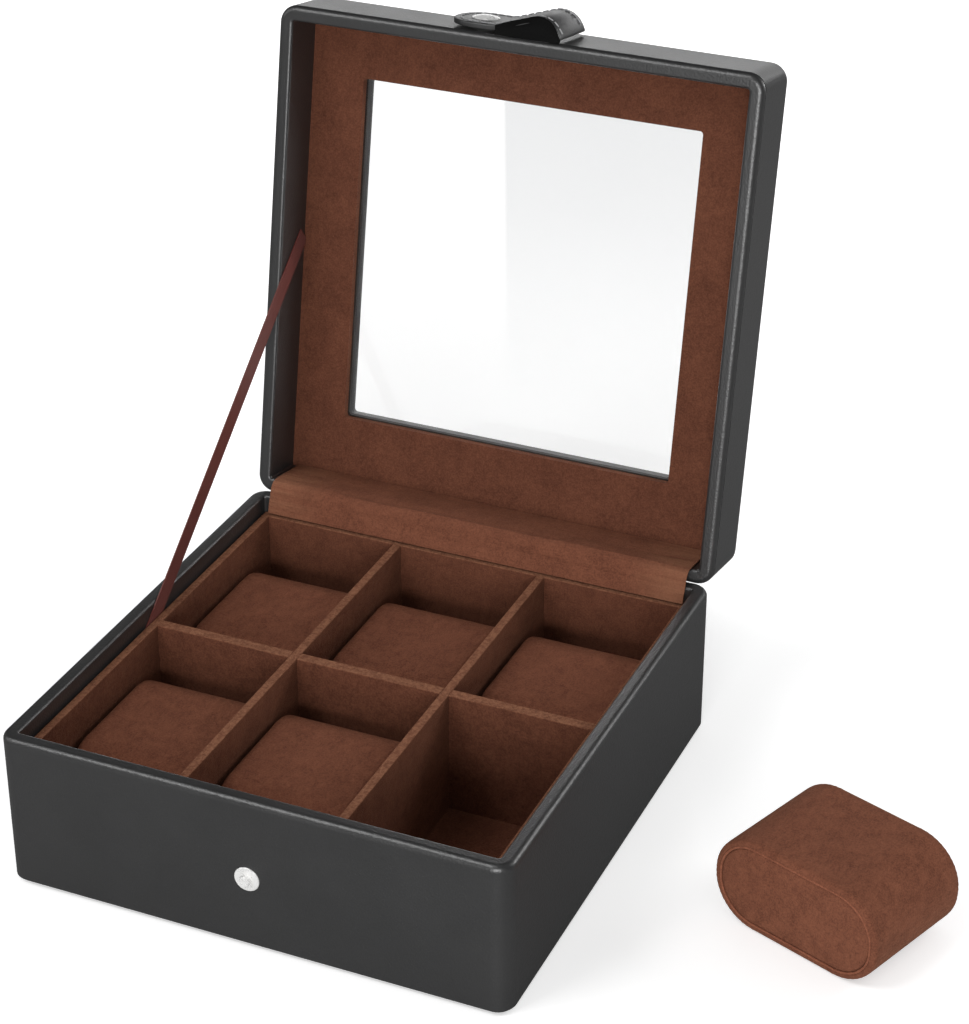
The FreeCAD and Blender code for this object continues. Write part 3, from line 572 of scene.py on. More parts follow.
def suede(name, sizes, rubbed_and_highlit_above=None, patch=9 * MM, lift=1.0, creased=False):
    """Napped suede: brushed patches, tufts and single fibres. Above a height it is paler, rubbed nap and a
    painted highlight together; when creased, a painted highlight runs along the creases near the ends.
    """
    finish = Finish(name, Roughness=0.95, Sheen_Weight=0.12, Sheen_Roughness=0.45,
                    Sheen_Tint=(0.75, 0.38, 0.22, 1), Specular_IOR_Level=0.1)
    brushed = finish.noise(patch, detail=4, roughness=0.65, distortion=0.6)
    tufts = finish.noise(1.9 * MM, roughness=0.6, at=finish.stretched((1, 0.5, 0.8)))
    fibres = finish.noise(0.65 * MM, roughness=0.7)
    share = 0.0
    for value, low, high, weight in ((brushed, 0.36, 0.64, 0.30), (tufts, 0.36, 0.64, 0.22),
                                     (fibres, 0.4, 0.6, 0.48)):
        share = finish.work("ADD", finish.spread(value, low, high, 0, weight), share)
    colour = finish.blend(share, tinted(sizes.suede_dark, lift), tinted(sizes.suede_light, lift))
    # Paler along the tray's top edges: rubbed nap and a painted highlight on the up-facing tops, speckled
    if rubbed_and_highlit_above is not None:
        edge = finish.spread(finish.axis("Z"), rubbed_and_highlit_above - 0.5 * MM, rubbed_and_highlit_above + 0.1 * MM)
        specks = finish.noise(1.3 * MM, detail=2, roughness=0.6)
        highlight_share = finish.work("MULTIPLY", edge, finish.spread(specks, 0.36, 0.64, 0.2, 0.9))
        colour = finish.blend(highlight_share, colour, sizes.suede_highlight)
    normal = finish.bump(brushed, 0.5 * MM)
    normal = finish.bump(tufts, 0.4 * MM, normal)
    normal = finish.bump(fibres, 0.3 * MM, normal)
    if creased:
        lines = finish.noise(3.2 * MM, roughness=0.6, at=finish.stretched((0.05, 1, 1)))
        normal = finish.bump(lines, 1.0 * MM, normal)
        # Painted highlight: paler suede along the crease lines near the flap's ends, where the bend would
        # catch light
        out = finish.work("ABSOLUTE", finish.axis("X"), 0)
        highlit_ends = finish.spread(out, 66 * MM, 84 * MM)
        highlight_share = finish.work("MULTIPLY", highlit_ends, finish.spread(lines, 0.35, 0.6, 0.1, 0.55))
        colour = finish.blend(highlight_share, colour, sizes.suede_highlight)
    return finish.finish(colour, None, normal)


def satin_ribbon(sizes):
    """Satin ribbon: fine ribs across the band and a slow change of colour."""
    finish = Finish("satin_ribbon", Roughness=0.45, Sheen_Weight=0.1, Sheen_Roughness=0.4,
                    Specular_IOR_Level=0.35, Anisotropic=0.4)
    threads = finish.noise(0.5 * MM, detail=1, at=finish.stretched((1, 0.3, 1)))
    slow = finish.noise(14 * MM, detail=2)
    share = finish.work("ADD", finish.work("MULTIPLY", threads, 0.5), finish.work("MULTIPLY", slow, 0.5))
    tone = finish.blend(share, tinted(sizes.ribbon_colour, 0.7), sizes.ribbon_colour)
    return finish.finish(tone, None, finish.bump(threads, 0.05 * MM))


def polished_steel(name, colour, roughness, brush, shine=1.0):
    """Plated steel with a little turning grain and handling marks."""
    finish = Finish(name, Metallic=shine)
    lines = finish.noise(0.5 * MM, detail=2, at=finish.stretched(brush))
    smudge = finish.noise(2.5 * MM)
    tone = finish.blend(smudge, tinted(colour, 0.82), colour)
    rough = finish.spread(smudge, 0.3, 0.7, roughness * 0.7, roughness * 1.3)
    return finish.finish(tone, rough, finish.bump(lines, 0.006 * MM))


def window_pane():
    """Clear glass that lets the lamps through, with a painted reflection: a faint grey streak down its right
    half.
    """
    finish = Finish("window_pane", Roughness=0.0, Transmission_Weight=1.0, IOR=1.45)
    # Painted reflection: a grey streak over the pane's right half, stronger higher up
    slant = finish.work("ADD", finish.axis("X"), finish.work("MULTIPLY", finish.axis("Z"), 0.09))
    side = finish.spread(slant, 8.0 * MM, 9.0 * MM)
    height = finish.spread(finish.axis("Z"), 105 * MM, 232 * MM)
    shade = finish.work("MULTIPLY", side, finish.work("MULTIPLY", height, 0.5))
    glass = finish.finish(finish.blend(shade, (1, 1, 1), (0.62, 0.63, 0.64)))
    path = finish.add("ShaderNodeLightPath")
    clear = finish.add("ShaderNodeBsdfTransparent")
    mixed = finish.add("ShaderNodeMixShader")
    finish.link(path.outputs["Is Shadow Ray"], mixed.inputs["Fac"])
    finish.link(finish.shader.outputs["BSDF"], mixed.inputs[1])
    finish.link(clear.outputs["BSDF"], mixed.inputs[2])
    finish.link(mixed.outputs["Shader"], node_of(finish.tree, "OUTPUT_MATERIAL").inputs["Surface"])
    return glass


def fibre_board(name, light, dark, fleck):
    """Raw pressed board: flecks and a fine pressed grain."""
    finish = Finish(name, Roughness=0.85, Specular_IOR_Level=0.25)
    flecks = finish.noise(fleck, detail=5, roughness=0.7)
    dust = finish.noise(fleck / 5, detail=2)
    share = finish.work("MULTIPLY", finish.spread(flecks, 0.35, 0.65), finish.spread(dust, 0.2, 0.8, 0.6, 1))
    return finish.finish(finish.blend(share, dark, light), None, finish.bump(flecks, 0.08 * MM))


def black_felt():
    """The pad under the bottom: short tangled hair."""
    finish = Finish("black_felt", Roughness=1.0, Sheen_Weight=0.2, Sheen_Roughness=0.5,
                    Specular_IOR_Level=0.1)
    hair = finish.noise(0.6 * MM, detail=4, roughness=0.7, distortion=1.5)
    black = (0.012, 0.012, 0.013)
    return finish.finish(finish.blend(hair, black, tinted(black, 1.7)), None, finish.bump(hair, 0.3 * MM))


def shaded_strap_underside():
    """The rough underside of the strap's leather, painted near-black to stand in for the shade under the
    arch.
    """
    finish = Finish("shaded_strap_underside", Roughness=0.85, Specular_IOR_Level=0.1)
    hair = finish.noise(0.5 * MM)
    # Painted shade: near-black, much darker than the strap's leather, for the shade below the arch
    tone = finish.blend(hair, (0.002, 0.002, 0.002), (0.005, 0.005, 0.005))
    return finish.finish(tone, None, finish.bump(hair, 0.1 * MM))


def sewing_thread():
    """Grey thread with a fine twist."""
    finish = Finish("sewing_thread", Roughness=0.6, Sheen_Weight=0.2, Sheen_Roughness=0.4)
    twist = finish.noise(0.25 * MM, detail=1)
    grey = (0.22, 0.22, 0.225)
    return finish.finish(finish.blend(twist, grey, tinted(grey, 1.8)), None, finish.bump(twist, 0.05 * MM))


# Operators

class DISPLAYBOX_OT_studio(bpy.types.Operator):
    """Sets up the pale floor, the soft lights and the camera"""
    bl_idname = "displaybox.studio"
    bl_label = "Studio"

    def execute(self, context):
        studio = context.scene.displaybox_studio
        self.floor(studio)
        self.surroundings(context, studio)
        for softbox in SOFTBOXES:
            self.softbox(context, *softbox)
        self.camera(context, studio)
        return {"FINISHED"}

    def floor(self, studio):
        """White paper that the box stands on, darker in reflections and glowing where the camera sees it."""
        floor = flat_sheet("studio_floor", FLOOR_SIZE, FLOOR_SIZE)
        paper = Finish("studio_paper", Roughness=0.9, Specular_IOR_Level=0.1,
                       Emission_Color=(1, 1, 1, 1))
        shade = studio.floor_colour
        colour = paper.blend(paper.noise(60 * MM, detail=2), tinted(shade, 0.995), shade)
        mirrored = by_ray(paper.tree, 0, 1, 0, 0)
        wear(floor, paper.finish(paper.blend(mirrored, colour, tinted(shade, studio.floor_gloss))))
        glow = by_ray(paper.tree, 0, 0, studio.floor_glow, studio.window_glow)
        away = paper.add("ShaderNodeVectorMath", operation="LENGTH")
        paper.link(paper.place, away.inputs[0])
        factor = paper.spread(away.outputs["Value"], *GLOW_DISTANCES, *GLOW_FACTORS)
        paper.link(paper.work("MULTIPLY", glow, factor), paper.shader.inputs["Emission Strength"])

    def surroundings(self, context, studio):
        world = bpy.data.worlds.new("studio_surroundings")
        world.use_nodes = True
        background = node_of(world.node_tree, "BACKGROUND")
        background.inputs["Color"].default_value = (1, 1, 1, 1)
        strength = by_ray(world.node_tree, studio.room_light, studio.room_gloss, 1.0, 1.0)
        world.node_tree.links.new(strength, background.inputs["Strength"])
        context.scene.world = world
        context.scene.view_settings.view_transform = "Standard"

    def softbox(self, context, name, place, target, size, power):
        lamp = bpy.data.lights.new(name, "AREA")
        lamp.shape = "RECTANGLE"
        lamp.size, lamp.size_y = size
        lamp.energy = power
        box = self.aimed(context, name, lamp, Vector(place), Vector(target) - Vector(place))
        box.visible_camera = False

    def camera(self, context, studio):
        back = Vector((math.sin(studio.azimuth) * math.cos(studio.elevation),
                       -math.cos(studio.azimuth) * math.cos(studio.elevation),
                       math.sin(studio.elevation)))
        lens = bpy.data.cameras.new("camera")
        lens.lens = studio.lens
        lens.sensor_width = 36
        lens.clip_start = 0.01
        lens.clip_end = 50
        place = Vector(studio.target) + back * studio.distance
        context.scene.camera = self.aimed(context, "camera", lens, place, -back)

    def aimed(self, context, name, data, place, direction):
        """A lamp or camera at a place, facing a direction."""
        piece = bpy.data.objects.new(name, data)
        context.scene.collection.objects.link(piece)
        piece.location = place
        piece.rotation_mode = "QUATERNION"
        piece.rotation_quaternion = direction.to_track_quat("-Z", "Y")
        return piece


class DISPLAYBOX_OT_leather(bpy.types.Operator):
    """Finishes the leather covers, the lid's rim lining and the strap's leather"""
    bl_idname = "displaybox.leather"
    bl_label = "Leather"

    def execute(self, context):
        leather = black_leather(context.scene.displaybox_finish)
        for node in ("base_leather_cover", "lid_leather_cover", "lid_rim_lining", "strap_leather",
                     "strap_lining", "strap_root_tab"):
            wear(frame["nodes"][node], leather)
        return {"FINISHED"}


class DISPLAYBOX_OT_boards(bpy.types.Operator):
    """Finishes the boards, the cards and the pad underneath"""
    bl_idname = "displaybox.boards"
    bl_label = "Boards"

    def execute(self, context):
        board = fibre_board("pressed_board", light=(0.52, 0.38, 0.24), dark=(0.30, 0.20, 0.12),
                            fleck=1.6 * MM)
        card = fibre_board("grey_card", light=(0.50, 0.46, 0.40), dark=(0.36, 0.33, 0.29),
                           fleck=0.9 * MM)
        # Painted shade: the lid's boards are near-black so that where they show in the groove between the
        # cover and the rim lining they read as shade
        dyed = fibre_board("dyed_board", light=(0.030, 0.024, 0.020), dark=(0.018, 0.015, 0.013),
                           fleck=1.6 * MM)
        for node, piece in frame["nodes"].items():
            if node.endswith("_board"):
                wear(piece, dyed if node.startswith("lid_") else board)
            if node.endswith("_card"):
                wear(piece, card)
        wear(frame["nodes"]["bottom_pad"], black_felt())
        return {"FINISHED"}


class DISPLAYBOX_OT_suede(bpy.types.Operator):
    """Finishes the tray's panels, dividers and floor, and the window mat"""
    bl_idname = "displaybox.suede"
    bl_label = "Tray and mat"

    def execute(self, context):
        sizes = context.scene.displaybox_finish
        tray_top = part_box("tray_left_panel_suede")[1].z
        # The tray's top edges are paler: rubbed nap and a painted highlight
        tray = suede("tray_suede", sizes, rubbed_and_highlit_above=tray_top)
        plain = suede("mat_suede", sizes, patch=14 * MM, lift=0.94)
        for node, piece in frame["nodes"].items():
            if node.endswith("_suede"):
                wear(piece, tray)
        for node in ("tray_floor_lining", "window_mat"):
            wear(frame["nodes"][node], plain)
        return {"FINISHED"}


class DISPLAYBOX_OT_metal(bpy.types.Operator):
    """Finishes the snap fastener, the hinges and their screws"""
    bl_idname = "displaybox.metal"
    bl_label = "Snap and hinges"

    def execute(self, context):
        snap = polished_steel("plated_snap", (0.96, 0.955, 0.945), 0.30, (1, 1, 1), shine=0.35)
        hinge = polished_steel("hinge_steel", (0.62, 0.60, 0.55), 0.30, (0.2, 1, 1))
        for node in ("snap_stud", "snap_stud_rivet", "snap_cap", "snap_socket"):
            wear(frame["nodes"][node], snap)
        for node in ("hinge_base_leaves", "hinge_lid_leaves", "hinge_pins", "hinge_base_screws",
                     "hinge_lid_screws"):
            wear(frame["nodes"][node], hinge)
        return {"FINISHED"}


class DISPLAYBOX_OT_window(bpy.types.Operator):
    """Finishes the window glass"""
    bl_idname = "displaybox.window"
    bl_label = "Window"

    def execute(self, context):
        wear(frame["nodes"]["window_glass"], window_pane())
        return {"FINISHED"}


class DISPLAYBOX_OT_cushions(bpy.types.Operator):
    """Makes the six foam cushions with their wraps and end panels"""
    bl_idname = "displaybox.cushions"
    bl_label = "Cushions"

    def execute(self, context):
        sizes = context.scene.displaybox_cushions
        finish = context.scene.displaybox_finish
        wrap = suede("cushion_suede", finish, patch=7 * MM, lift=1.32)
        # Painted highlight: the welt cord's suede is lifted far lighter than the wrap's, for the light that
        # the seam's ridge catches
        welt_highlight = suede("welt_painted_highlight", finish, patch=7 * MM, lift=1.9)
        low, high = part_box("cushion_1_end_panels")
        pad_low, pad_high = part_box("cushion_1_pad")
        width = high.x - low.x
        length = pad_high.y - pad_low.y
        height = pad_high.z - pad_low.z
        form = self.model(context, sizes, width, length, height)
        wear(form, wrap)
        panels = self.end_panels(sizes, width, length, height, wrap, welt_highlight)
        chance = random.Random(11)
        for number in CUSHION_NUMBERS:
            pad_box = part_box("cushion_{}_pad".format(number))
            centre = (pad_box[0] + pad_box[1]) / 2
            centre.z = pad_box[0].z
            turn = sizes.loose_turn if number == LOOSE_CUSHION else 0.0
            place = Matrix.Translation(centre) @ Matrix.Rotation(turn, 4, "Z")
            if number % 2:
                place = place @ Matrix.Rotation(math.pi, 4, "Z")
            pad = copy_of(form, "cushion_{}_wrap".format(number))
            ends = copy_of(panels, "cushion_{}_ends".format(number))
            self.press(pad, chance, length)
            for piece, node in ((pad, "pad"), (ends, "end_panels")):
                piece.data.transform(place)
                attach(piece, "cushion_{}".format(number))
                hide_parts("cushion_{}_{}".format(number, node))
        delete(form)
        delete(panels)
        return {"FINISHED"}

    def model(self, context, sizes, width, length, height):
        """The wrapped foam: a prism with rounded ends, soft shoulders and a hollow in each end face."""
        half = width / 2

        def end_face(face):
            return abs(face.normal.x) > 0.99 and len(face.verts) > 8

        piece = self.stadium("cushion_form", -half, half, length, height, 0)
        choose(piece, "EDGE", lambda edge: all(abs(abs(v.co.x) - half) < 0.01 * MM for v in edge.verts))
        bpy.ops.mesh.bevel(offset=sizes.shoulder, segments=3, profile=0.5)
        choose(piece, "FACE", end_face)
        bpy.ops.mesh.inset(thickness=sizes.rim)
        choose(piece, "FACE", end_face)
        bpy.ops.mesh.inset(thickness=0.15 * MM, depth=-sizes.recess)
        # Rows of points about 5 mm apart, between the shoulders and between the rounded ends
        straight = length / 2 - height / 2 - 1 * MM
        for direction, reach in (((1, 0, 0), half - 3.5 * MM), ((0, 1, 0), straight)):
            rows = round(2 * reach / (5 * MM))
            points = [Vector(direction) * reach * (2 * row / rows - 1) for row in range(rows + 1)]
            slice_through(points, direction)
        bpy.ops.mesh.select_all(action="SELECT")
        bpy.ops.mesh.remove_doubles(threshold=0.02 * MM)
        bpy.ops.mesh.normals_make_consistent(inside=False)
        done_editing()
        self.swell(context, piece, sizes, half)
        modify(piece, "SUBSURF", levels=1, render_levels=1)
        smooth(piece, 50)
        return piece

    def stadium(self, name, x0, x1, length, height, inset):
        """A prism whose outline has two round ends, left in edit mode."""
        piece = slab(name, (x0, -length / 2 + inset, inset), (x1, length / 2 - inset, height - inset))
        edit(piece)
        choose(piece, "EDGE", lambda edge: abs(edge.verts[0].co.x - edge.verts[1].co.x) > (x1 - x0) * 0.9)
        bpy.ops.mesh.bevel(offset=height / 2 - 1.0 * MM - inset, segments=12, profile=0.5)
        return piece

    def swell(self, context, piece, sizes, half):
        """Lets the foam push the wrap out between its stiff ends, and caps how far it goes."""
        rest = [vertex.co.copy() for vertex in piece.data.vertices]
        held = piece.vertex_groups.new(name="stiff_ends")
        ring = [vertex.index for vertex in piece.data.vertices
                if abs(vertex.co.x) > half - sizes.shoulder - 0.1 * MM]
        held.add(ring, 1.0, "REPLACE")
        cloth = piece.modifiers.new("Foam", "CLOTH")
        cloth.settings.quality = 6
        cloth.settings.mass = 0.02
        cloth.settings.tension_stiffness = 20
        cloth.settings.compression_stiffness = 20
        cloth.settings.bending_stiffness = 2
        cloth.settings.use_pressure = True
        cloth.settings.uniform_pressure_force = 6
        cloth.settings.vertex_group_mass = held.name
        cloth.settings.effector_weights.gravity = 0
        cloth.collision_settings.use_collision = False
        for step in range(1, 21):
            context.scene.frame_set(step)
        only(piece)
        bpy.ops.object.modifier_apply(modifier=cloth.name)
        context.scene.frame_set(1)
        moved = [vertex.co - start for vertex, start in zip(piece.data.vertices, rest)]
        moved = self.even_out(piece, moved, set(ring), passes=40)
        most = max(move.length for move in moved)
        print("foam pushed the wrap by", round(most * 1000, 2), "mm")
        share = min(1.0, sizes.crown / most) if most > 0 else 0.0
        for vertex, start, move in zip(piece.data.vertices, rest, moved):
            vertex.co = start + move * share

    def even_out(self, piece, moved, held, passes):
        """Spreads each point's move over its neighbours, as the foam's skin does."""
        near = [[] for _ in moved]
        for edge in piece.data.edges:
            first, second = edge.vertices
            near[first].append(second)
            near[second].append(first)
        for _ in range(passes):
            moved = [move if index in held else
                     (move + sum((moved[other] for other in near[index]), Vector())) / (1 + len(near[index]))
                     for index, move in enumerate(moved)]
        return moved

    def end_panels(self, sizes, width, length, height, wrap, welt_highlight):
        """A covered card with rounded edges and a slightly padded face, and its twin at the other end."""
        inset = sizes.shoulder + sizes.rim + sizes.panel_gap
        inner = width / 2 - sizes.recess
        panel = self.stadium("panel_form", inner + 0.02 * MM, width / 2 - 0.35 * MM, length, height, inset)
        choose(panel, "EDGE", lambda edge: all(v.co.x > inner + 0.3 * MM for v in edge.verts))
        bpy.ops.mesh.bevel(offset=0.9 * MM, segments=3, profile=0.5)
        choose(panel, "FACE", lambda face: face.normal.x > 0.99 and len(face.verts) > 8)
        bpy.ops.mesh.inset(thickness=1.5 * MM, depth=0.1 * MM)
        bpy.ops.mesh.inset(thickness=4 * MM, depth=0.18 * MM)
        done_editing()
        recalculate(panel)
        modify(panel, "SUBSURF", levels=1, render_levels=1)
        cord = self.welt_cord(sizes, width, length, height)
        wear(panel, wrap)
        # The cord wears the lighter suede, a painted highlight along the seam's ridge
        wear(cord, welt_highlight)
        panel = join([panel, cord], "panel_form")
        twin = copy_of(panel, "panel_twin", Matrix.Rotation(math.pi, 4, "Z"))
        panels = join([panel, twin], "panel_form")
        smooth(panels, 50)
        return panels

    def welt_cord(self, sizes, width, length, height):
        """The covered cord in the seam between the wrap and an end panel."""
        inset = sizes.shoulder + sizes.rim + sizes.panel_gap / 2
        cord = self.stadium("welt_cord", 0, (width - sizes.welt) / 2, length, height, inset)
        choose(cord, "FACE", lambda face: face.normal.x < 0.99)
        bpy.ops.mesh.delete(type="FACE")
        bpy.ops.mesh.select_all(action="SELECT")
        bpy.ops.mesh.delete(type="ONLY_FACE")
        done_editing()
        only(cord)
        bpy.ops.object.convert(target="CURVE")
        cord.data.bevel_depth = sizes.welt / 2
        cord.data.bevel_resolution = 1
        bpy.ops.object.convert(target="MESH")
        return cord

    def press(self, pad, chance, length):
        """Small dents and swellings, so that no two cushions are the same."""
        edit(pad)
        bpy.ops.mesh.select_mode(type="VERT")
        above = 40 * MM
        for _ in range(4):
            x, y = chance.uniform(-12, 12) * MM, chance.uniform(-0.35, 0.35) * length
            depth = chance.uniform(-0.5, 0.35) * MM
            mesh = bmesh.from_edit_mesh(pad.data)
            top = min(mesh.verts, key=lambda vertex: (vertex.co - Vector((x, y, above))).length)
            index = top.index
            choose(pad, "VERT", lambda vertex: vertex.index == index)
            push((0, 0, depth), chance.uniform(9, 16) * MM)
        done_editing()


class DISPLAYBOX_OT_hinge_flap(bpy.types.Operator):
    """Makes the suede sheet that covers the gap between lid and tray"""
    bl_idname = "displaybox.hinge_flap"
    bl_label = "Hinge flap"

    def execute(self, context):
        sizes = context.scene.displaybox_sheets
        low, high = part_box("hinge_flap")
        stops = [Vector((0, y * MM, z * MM)) for y, z in FLAP_ROUTE]
        run = stops[1] - stops[0]
        flap = flat_sheet("suede_hinge_flap", high.x - low.x, run.length,
                          place=(stops[0] + stops[1]) / 2, turn=(math.atan2(run.z, run.y), 0, 0))
        edit(flap)
        for reached, following in zip(stops[1:], stops[2:]):
            choose(flap, "EDGE", lambda edge: self.ends_at(edge, reached))
            bpy.ops.mesh.extrude_region_move(TRANSFORM_OT_translate={"value": following - reached})
        slice_through([(low.x + (high.x - low.x) * strip / FLAP_STRIPS, 0, 0)
                       for strip in range(1, FLAP_STRIPS)], (1, 0, 0))
        bpy.ops.mesh.select_all(action="SELECT")
        bpy.ops.mesh.subdivide(number_cuts=1)
        bpy.ops.mesh.remove_doubles(threshold=0.01 * MM)
        bpy.ops.mesh.normals_make_consistent(inside=False)
        self.crease(flap, sizes.crease_depth)
        done_editing()
        modify(flap, "SUBSURF", levels=1, render_levels=1)
        modify(flap, "SOLIDIFY", thickness=sizes.flap_thickness, offset=0)
        smooth(flap, 60)
        # Painted light: lift 1.3 makes the flap a lighter copy of the mat's suede, making up for the shade
        # on its bend
        wear(flap, suede("flap_suede", context.scene.displaybox_finish, patch=14 * MM, lift=1.3,
                         creased=True))
        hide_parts("hinge_flap")
        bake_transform(flap)
        return {"FINISHED"}

    def ends_at(self, edge, stop):
        """Whether an edge across the sheet has its middle at a stop of the route."""
        middle = (edge.verts[0].co + edge.verts[1].co) / 2
        return (middle - stop).length < 0.05 * MM

    def crease(self, flap, full_depth):
        """Long soft creases along the bend, each pressed in over part of the width."""
        for y, z, left, right, share in FLAP_CREASES:
            choose(flap, "VERT", lambda vertex: left * MM < vertex.co.x < right * MM
                   and math.hypot(vertex.co.y - y * MM, vertex.co.z - z * MM) < 0.3 * MM)
            push((0, 0.5 * share * full_depth, share * full_depth), CREASE_REACH)


class DISPLAYBOX_OT_ribbon(bpy.types.Operator):
    """Makes the satin ribbon that stops the lid"""
    bl_idname = "displaybox.ribbon"
    bl_label = "Ribbon stay"

    def execute(self, context):
        sizes = context.scene.displaybox_sheets
        low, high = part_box("ribbon_stay")
        across = (low.x + high.x) / 2
        start = Vector((across, *RIBBON_LOW_END))
        end = Vector((across, *RIBBON_HIGH_END))
        run = end - start
        band = flat_sheet("satin_ribbon_stay", sizes.ribbon_width, run.length)
        edit(band)
        rows = 60
        slice_through([(0, run.length * (row / rows - 0.5), 0) for row in range(1, rows)], (0, 1, 0))
        slice_through([(sizes.ribbon_width * share, 0, 0) for share in (-0.35, 0, 0.35)], (1, 0, 0))
        done_editing()
        # The flat side faces +X, and the length runs from the tray's slot up to the lid
        stand = Matrix.Rotation(math.pi / 2, 4, "Y")
        tilt = Matrix.Rotation(math.atan2(run.z, run.y), 4, "X")
        band.data.transform(Matrix.Translation((start + end) / 2) @ tilt @ stand)
        modify(band, "SOLIDIFY", thickness=sizes.ribbon_thickness, offset=0)
        smooth(band, 60)
        wear(band, satin_ribbon(context.scene.displaybox_finish))
        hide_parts("ribbon_stay")
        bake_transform(band)
        return {"FINISHED"}


class DISPLAYBOX_OT_strap(bpy.types.Operator):
    """Cuts the strap with a round tip, sews it and folds its root out of the lid's groove"""
    bl_idname = "displaybox.strap"
    bl_label = "Strap"

    def execute(self, context):
        self.cut()
        self.sew(context.scene.displaybox_seams)
        self.fold()
        return {"FINISHED"}

    def cut(self):
        """The leather and its lining as one band, flat first and then laid along the folded strap's line."""
        length = STRAP_LENGTH - STRAP_ROOT
        band = flat_sheet("strap_band", length, STRAP_WIDTH)
        edit(band)
        choose(band, "VERT", lambda vertex: vertex.co.x > 0)
        bpy.ops.mesh.bevel(offset=STRAP_TIP_CORNER, segments=10, affect="VERTICES")
        rows = 40
        slice_through([(length * (row / rows - 0.5), 0, 0) for row in range(1, rows)], (1, 0, 0))
        done_editing()
        modify(band, "SOLIDIFY", thickness=STRAP_LEATHER + STRAP_LINING, offset=0)
        recalculate(band)
        modify(band, "BEVEL", width=0.5 * MM, segments=3, limit_method="ANGLE",
               angle_limit=math.radians(50))
        for vertex in band.data.vertices:
            rise = vertex.co.z + (STRAP_LEATHER - STRAP_LINING) / 2
            vertex.co = strap_point(vertex.co.y, vertex.co.x + length / 2 + STRAP_ROOT, rise)[0]
        spot, out = strap_point(0, STRAP_LENGTH - SNAP_FROM_TIP, 0)
        deselect_all()
        bpy.ops.mesh.primitive_cylinder_add(vertices=32, radius=SNAP_BORE, depth=8 * MM, location=spot,
                                            rotation=out.to_track_quat("Z", "Y").to_euler())
        bore = named("snap_bore")
        modify(band, "BOOLEAN", object=bore, operation="DIFFERENCE", solver="EXACT")
        delete(bore)
        recalculate(band)
        smooth(band, 40)
        wear(band, frame["nodes"]["strap_leather"].data.materials[0])
        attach(band, "strap")
        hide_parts("strap_leather", "strap_lining")

    def sew(self, seams):
        """A stitch is a short rounded thread, copied round the strap's face a set way in from its edge."""
        deselect_all()
        bpy.ops.mesh.primitive_cylinder_add(vertices=6, radius=seams.thread / 2, depth=seams.stitch_length)
        stitch = named("stitch_form")
        edit(stitch)
        choose(stitch, "FACE", lambda face: abs(face.normal.z) > 0.9)
        bpy.ops.mesh.inset(thickness=seams.thread * 0.28, depth=seams.thread * 0.2)
        done_editing()
        path = self.seam_line(seams.inset)
        stitches = []
        travelled = 0.0
        for (u, s), (next_u, next_s) in zip(path, path[1:]):
            here, out = strap_point(u, s)
            ahead, _ = strap_point(next_u, next_s)
            run = (ahead - here).length
            while travelled < run:
                spot = here.lerp(ahead, travelled / run)
                along = (ahead - here).normalized()
                side = out.cross(along).normalized()
                turn = Matrix((side, out, along)).transposed().to_4x4()
                place = Matrix.Translation(spot + out * seams.thread * 0.15) @ turn
                stitches.append(copy_of(stitch, "stitch", place))
                travelled += seams.stitch_pitch
            travelled -= run
        delete(stitch)
        seam = join(stitches, "strap_stitches")
        smooth(seam, 60)
        wear(seam, sewing_thread())
        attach(seam, "strap")

    def seam_line(self, inset):
        """Down one side of the strap, round the tip and back, as (across, along) points."""
        side = STRAP_WIDTH / 2 - inset
        end = STRAP_LENGTH - inset
        corner = STRAP_TIP_CORNER - inset
        down = [(side, step * MM) for step in range(2, int((end - corner) / MM))]
        turn = [(side - corner + corner * math.cos(math.radians(angle)),
                 end - corner + corner * math.sin(math.radians(angle))) for angle in range(0, 91, 15)]
        half = down + turn
        return half + [(-u, s) for u, s in reversed(half)]

    def fold(self):
        """The strap's own leather between the groove and the arch, where it twists over to one side."""
        web = flat_sheet("strap_fold", 1, 1)
        edit(web)
        columns, rows = 26, 6
        slice_through([(column / columns - 0.5, 0, 0) for column in range(1, columns)], (1, 0, 0))
        slice_through([(0, row / rows - 0.5, 0) for row in range(1, rows)], (0, 1, 0))
        done_editing()
        for vertex in web.data.vertices:
            along, up = vertex.co.x + 0.5, vertex.co.y + 0.5
            height = strap_height(along * WEB_REACH)[0] + STRAP_LEATHER
            hollow = WEB_HOLLOW * math.sin(math.pi * up) * math.sin(math.pi * along)
            vertex.co = closed_to_rest(STRAP_START_X - along * WEB_REACH, -height * up - 0.1 * MM,
                                       STRAP_NEAR_EDGE_Z - 0.5 * MM + hollow)
        modify(web, "SOLIDIFY", thickness=WEB_THICKNESS, offset=0)
        recalculate(web)
        smooth(web, 50)
        # The web wears the near-black underside, painted shade below the arch
        wear(web, shaded_strap_underside())
        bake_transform(web)


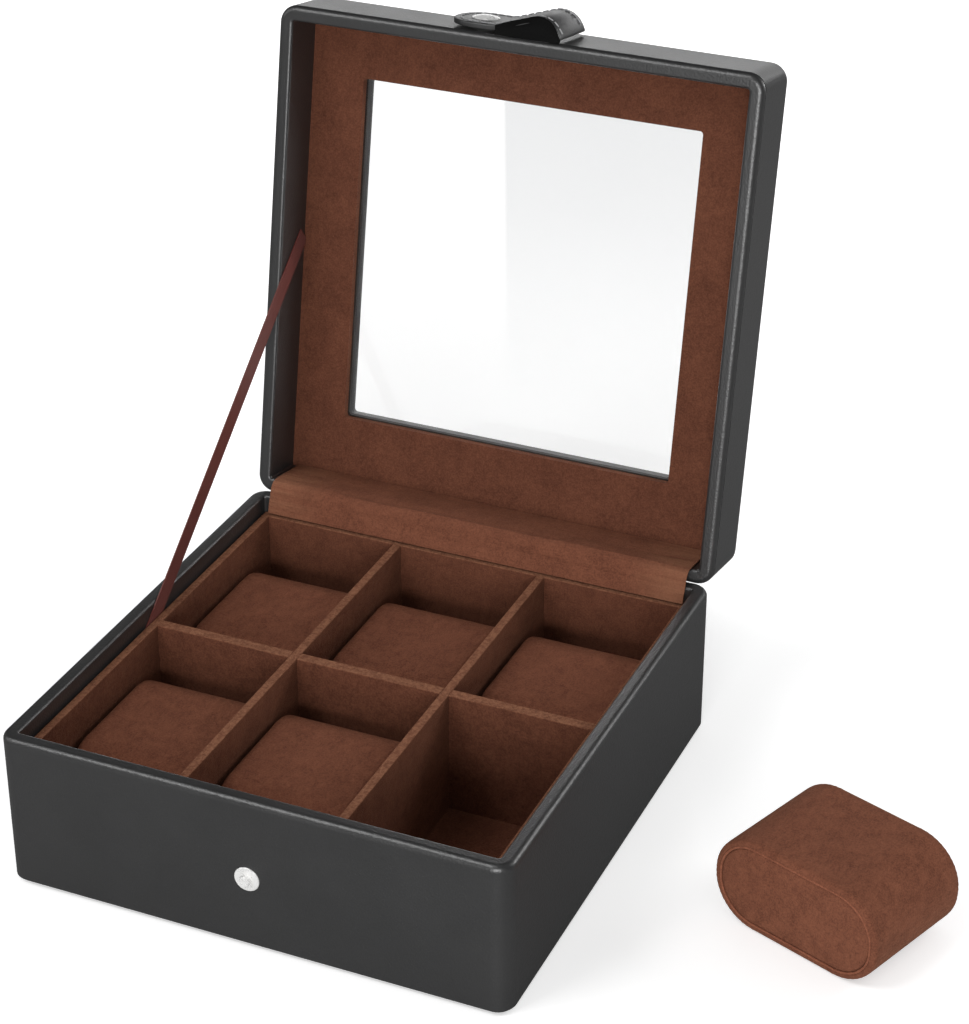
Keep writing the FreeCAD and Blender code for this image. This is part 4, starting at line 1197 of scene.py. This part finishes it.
class DISPLAYBOX_PT_panel(bpy.types.Panel):
    """Lists the display box's pieces in the order in which they are made"""
    bl_idname = "DISPLAYBOX_PT_panel"
    bl_label = "Display Box"
    bl_space_type = "VIEW_3D"
    bl_region_type = "UI"
    bl_category = "Display Box"

    def draw(self, context):
        for operator in PIECES:
            self.layout.operator(operator.bl_idname)
        for name in GROUPS:
            group = getattr(context.scene, name)
            box = self.layout.box()
            for key in group.__annotations__:
                box.prop(group, key)


GROUPS = {
    "displaybox_finish": DisplayBoxFinish,
    "displaybox_cushions": DisplayBoxCushions,
    "displaybox_sheets": DisplayBoxSheets,
    "displaybox_seams": DisplayBoxSeams,
    "displaybox_studio": DisplayBoxStudio,
}

PIECES = (
    DISPLAYBOX_OT_studio,
    DISPLAYBOX_OT_leather,
    DISPLAYBOX_OT_boards,
    DISPLAYBOX_OT_suede,
    DISPLAYBOX_OT_metal,
    DISPLAYBOX_OT_window,
    DISPLAYBOX_OT_cushions,
    DISPLAYBOX_OT_hinge_flap,
    DISPLAYBOX_OT_ribbon,
    DISPLAYBOX_OT_strap,
)


def register():
    for name, group in GROUPS.items():
        bpy.utils.register_class(group)
        setattr(bpy.types.Scene, name, bpy.props.PointerProperty(type=group))
    for operator in PIECES:
        bpy.utils.register_class(operator)
    bpy.utils.register_class(DISPLAYBOX_PT_panel)


def unregister():
    bpy.utils.unregister_class(DISPLAYBOX_PT_panel)
    for operator in reversed(PIECES):
        bpy.utils.unregister_class(operator)
    for name, group in reversed(GROUPS.items()):
        delattr(bpy.types.Scene, name)
        bpy.utils.unregister_class(group)


def main():
    register()
    bpy.ops.displaybox.studio()
    bpy.ops.displaybox.leather()
    bpy.ops.displaybox.boards()
    bpy.ops.displaybox.suede()
    bpy.ops.displaybox.metal()
    bpy.ops.displaybox.window()
    bpy.ops.displaybox.cushions()
    bpy.ops.displaybox.hinge_flap()
    bpy.ops.displaybox.ribbon()
    bpy.ops.displaybox.strap()
    deselect_all()


if __name__ == "__main__":
    main()
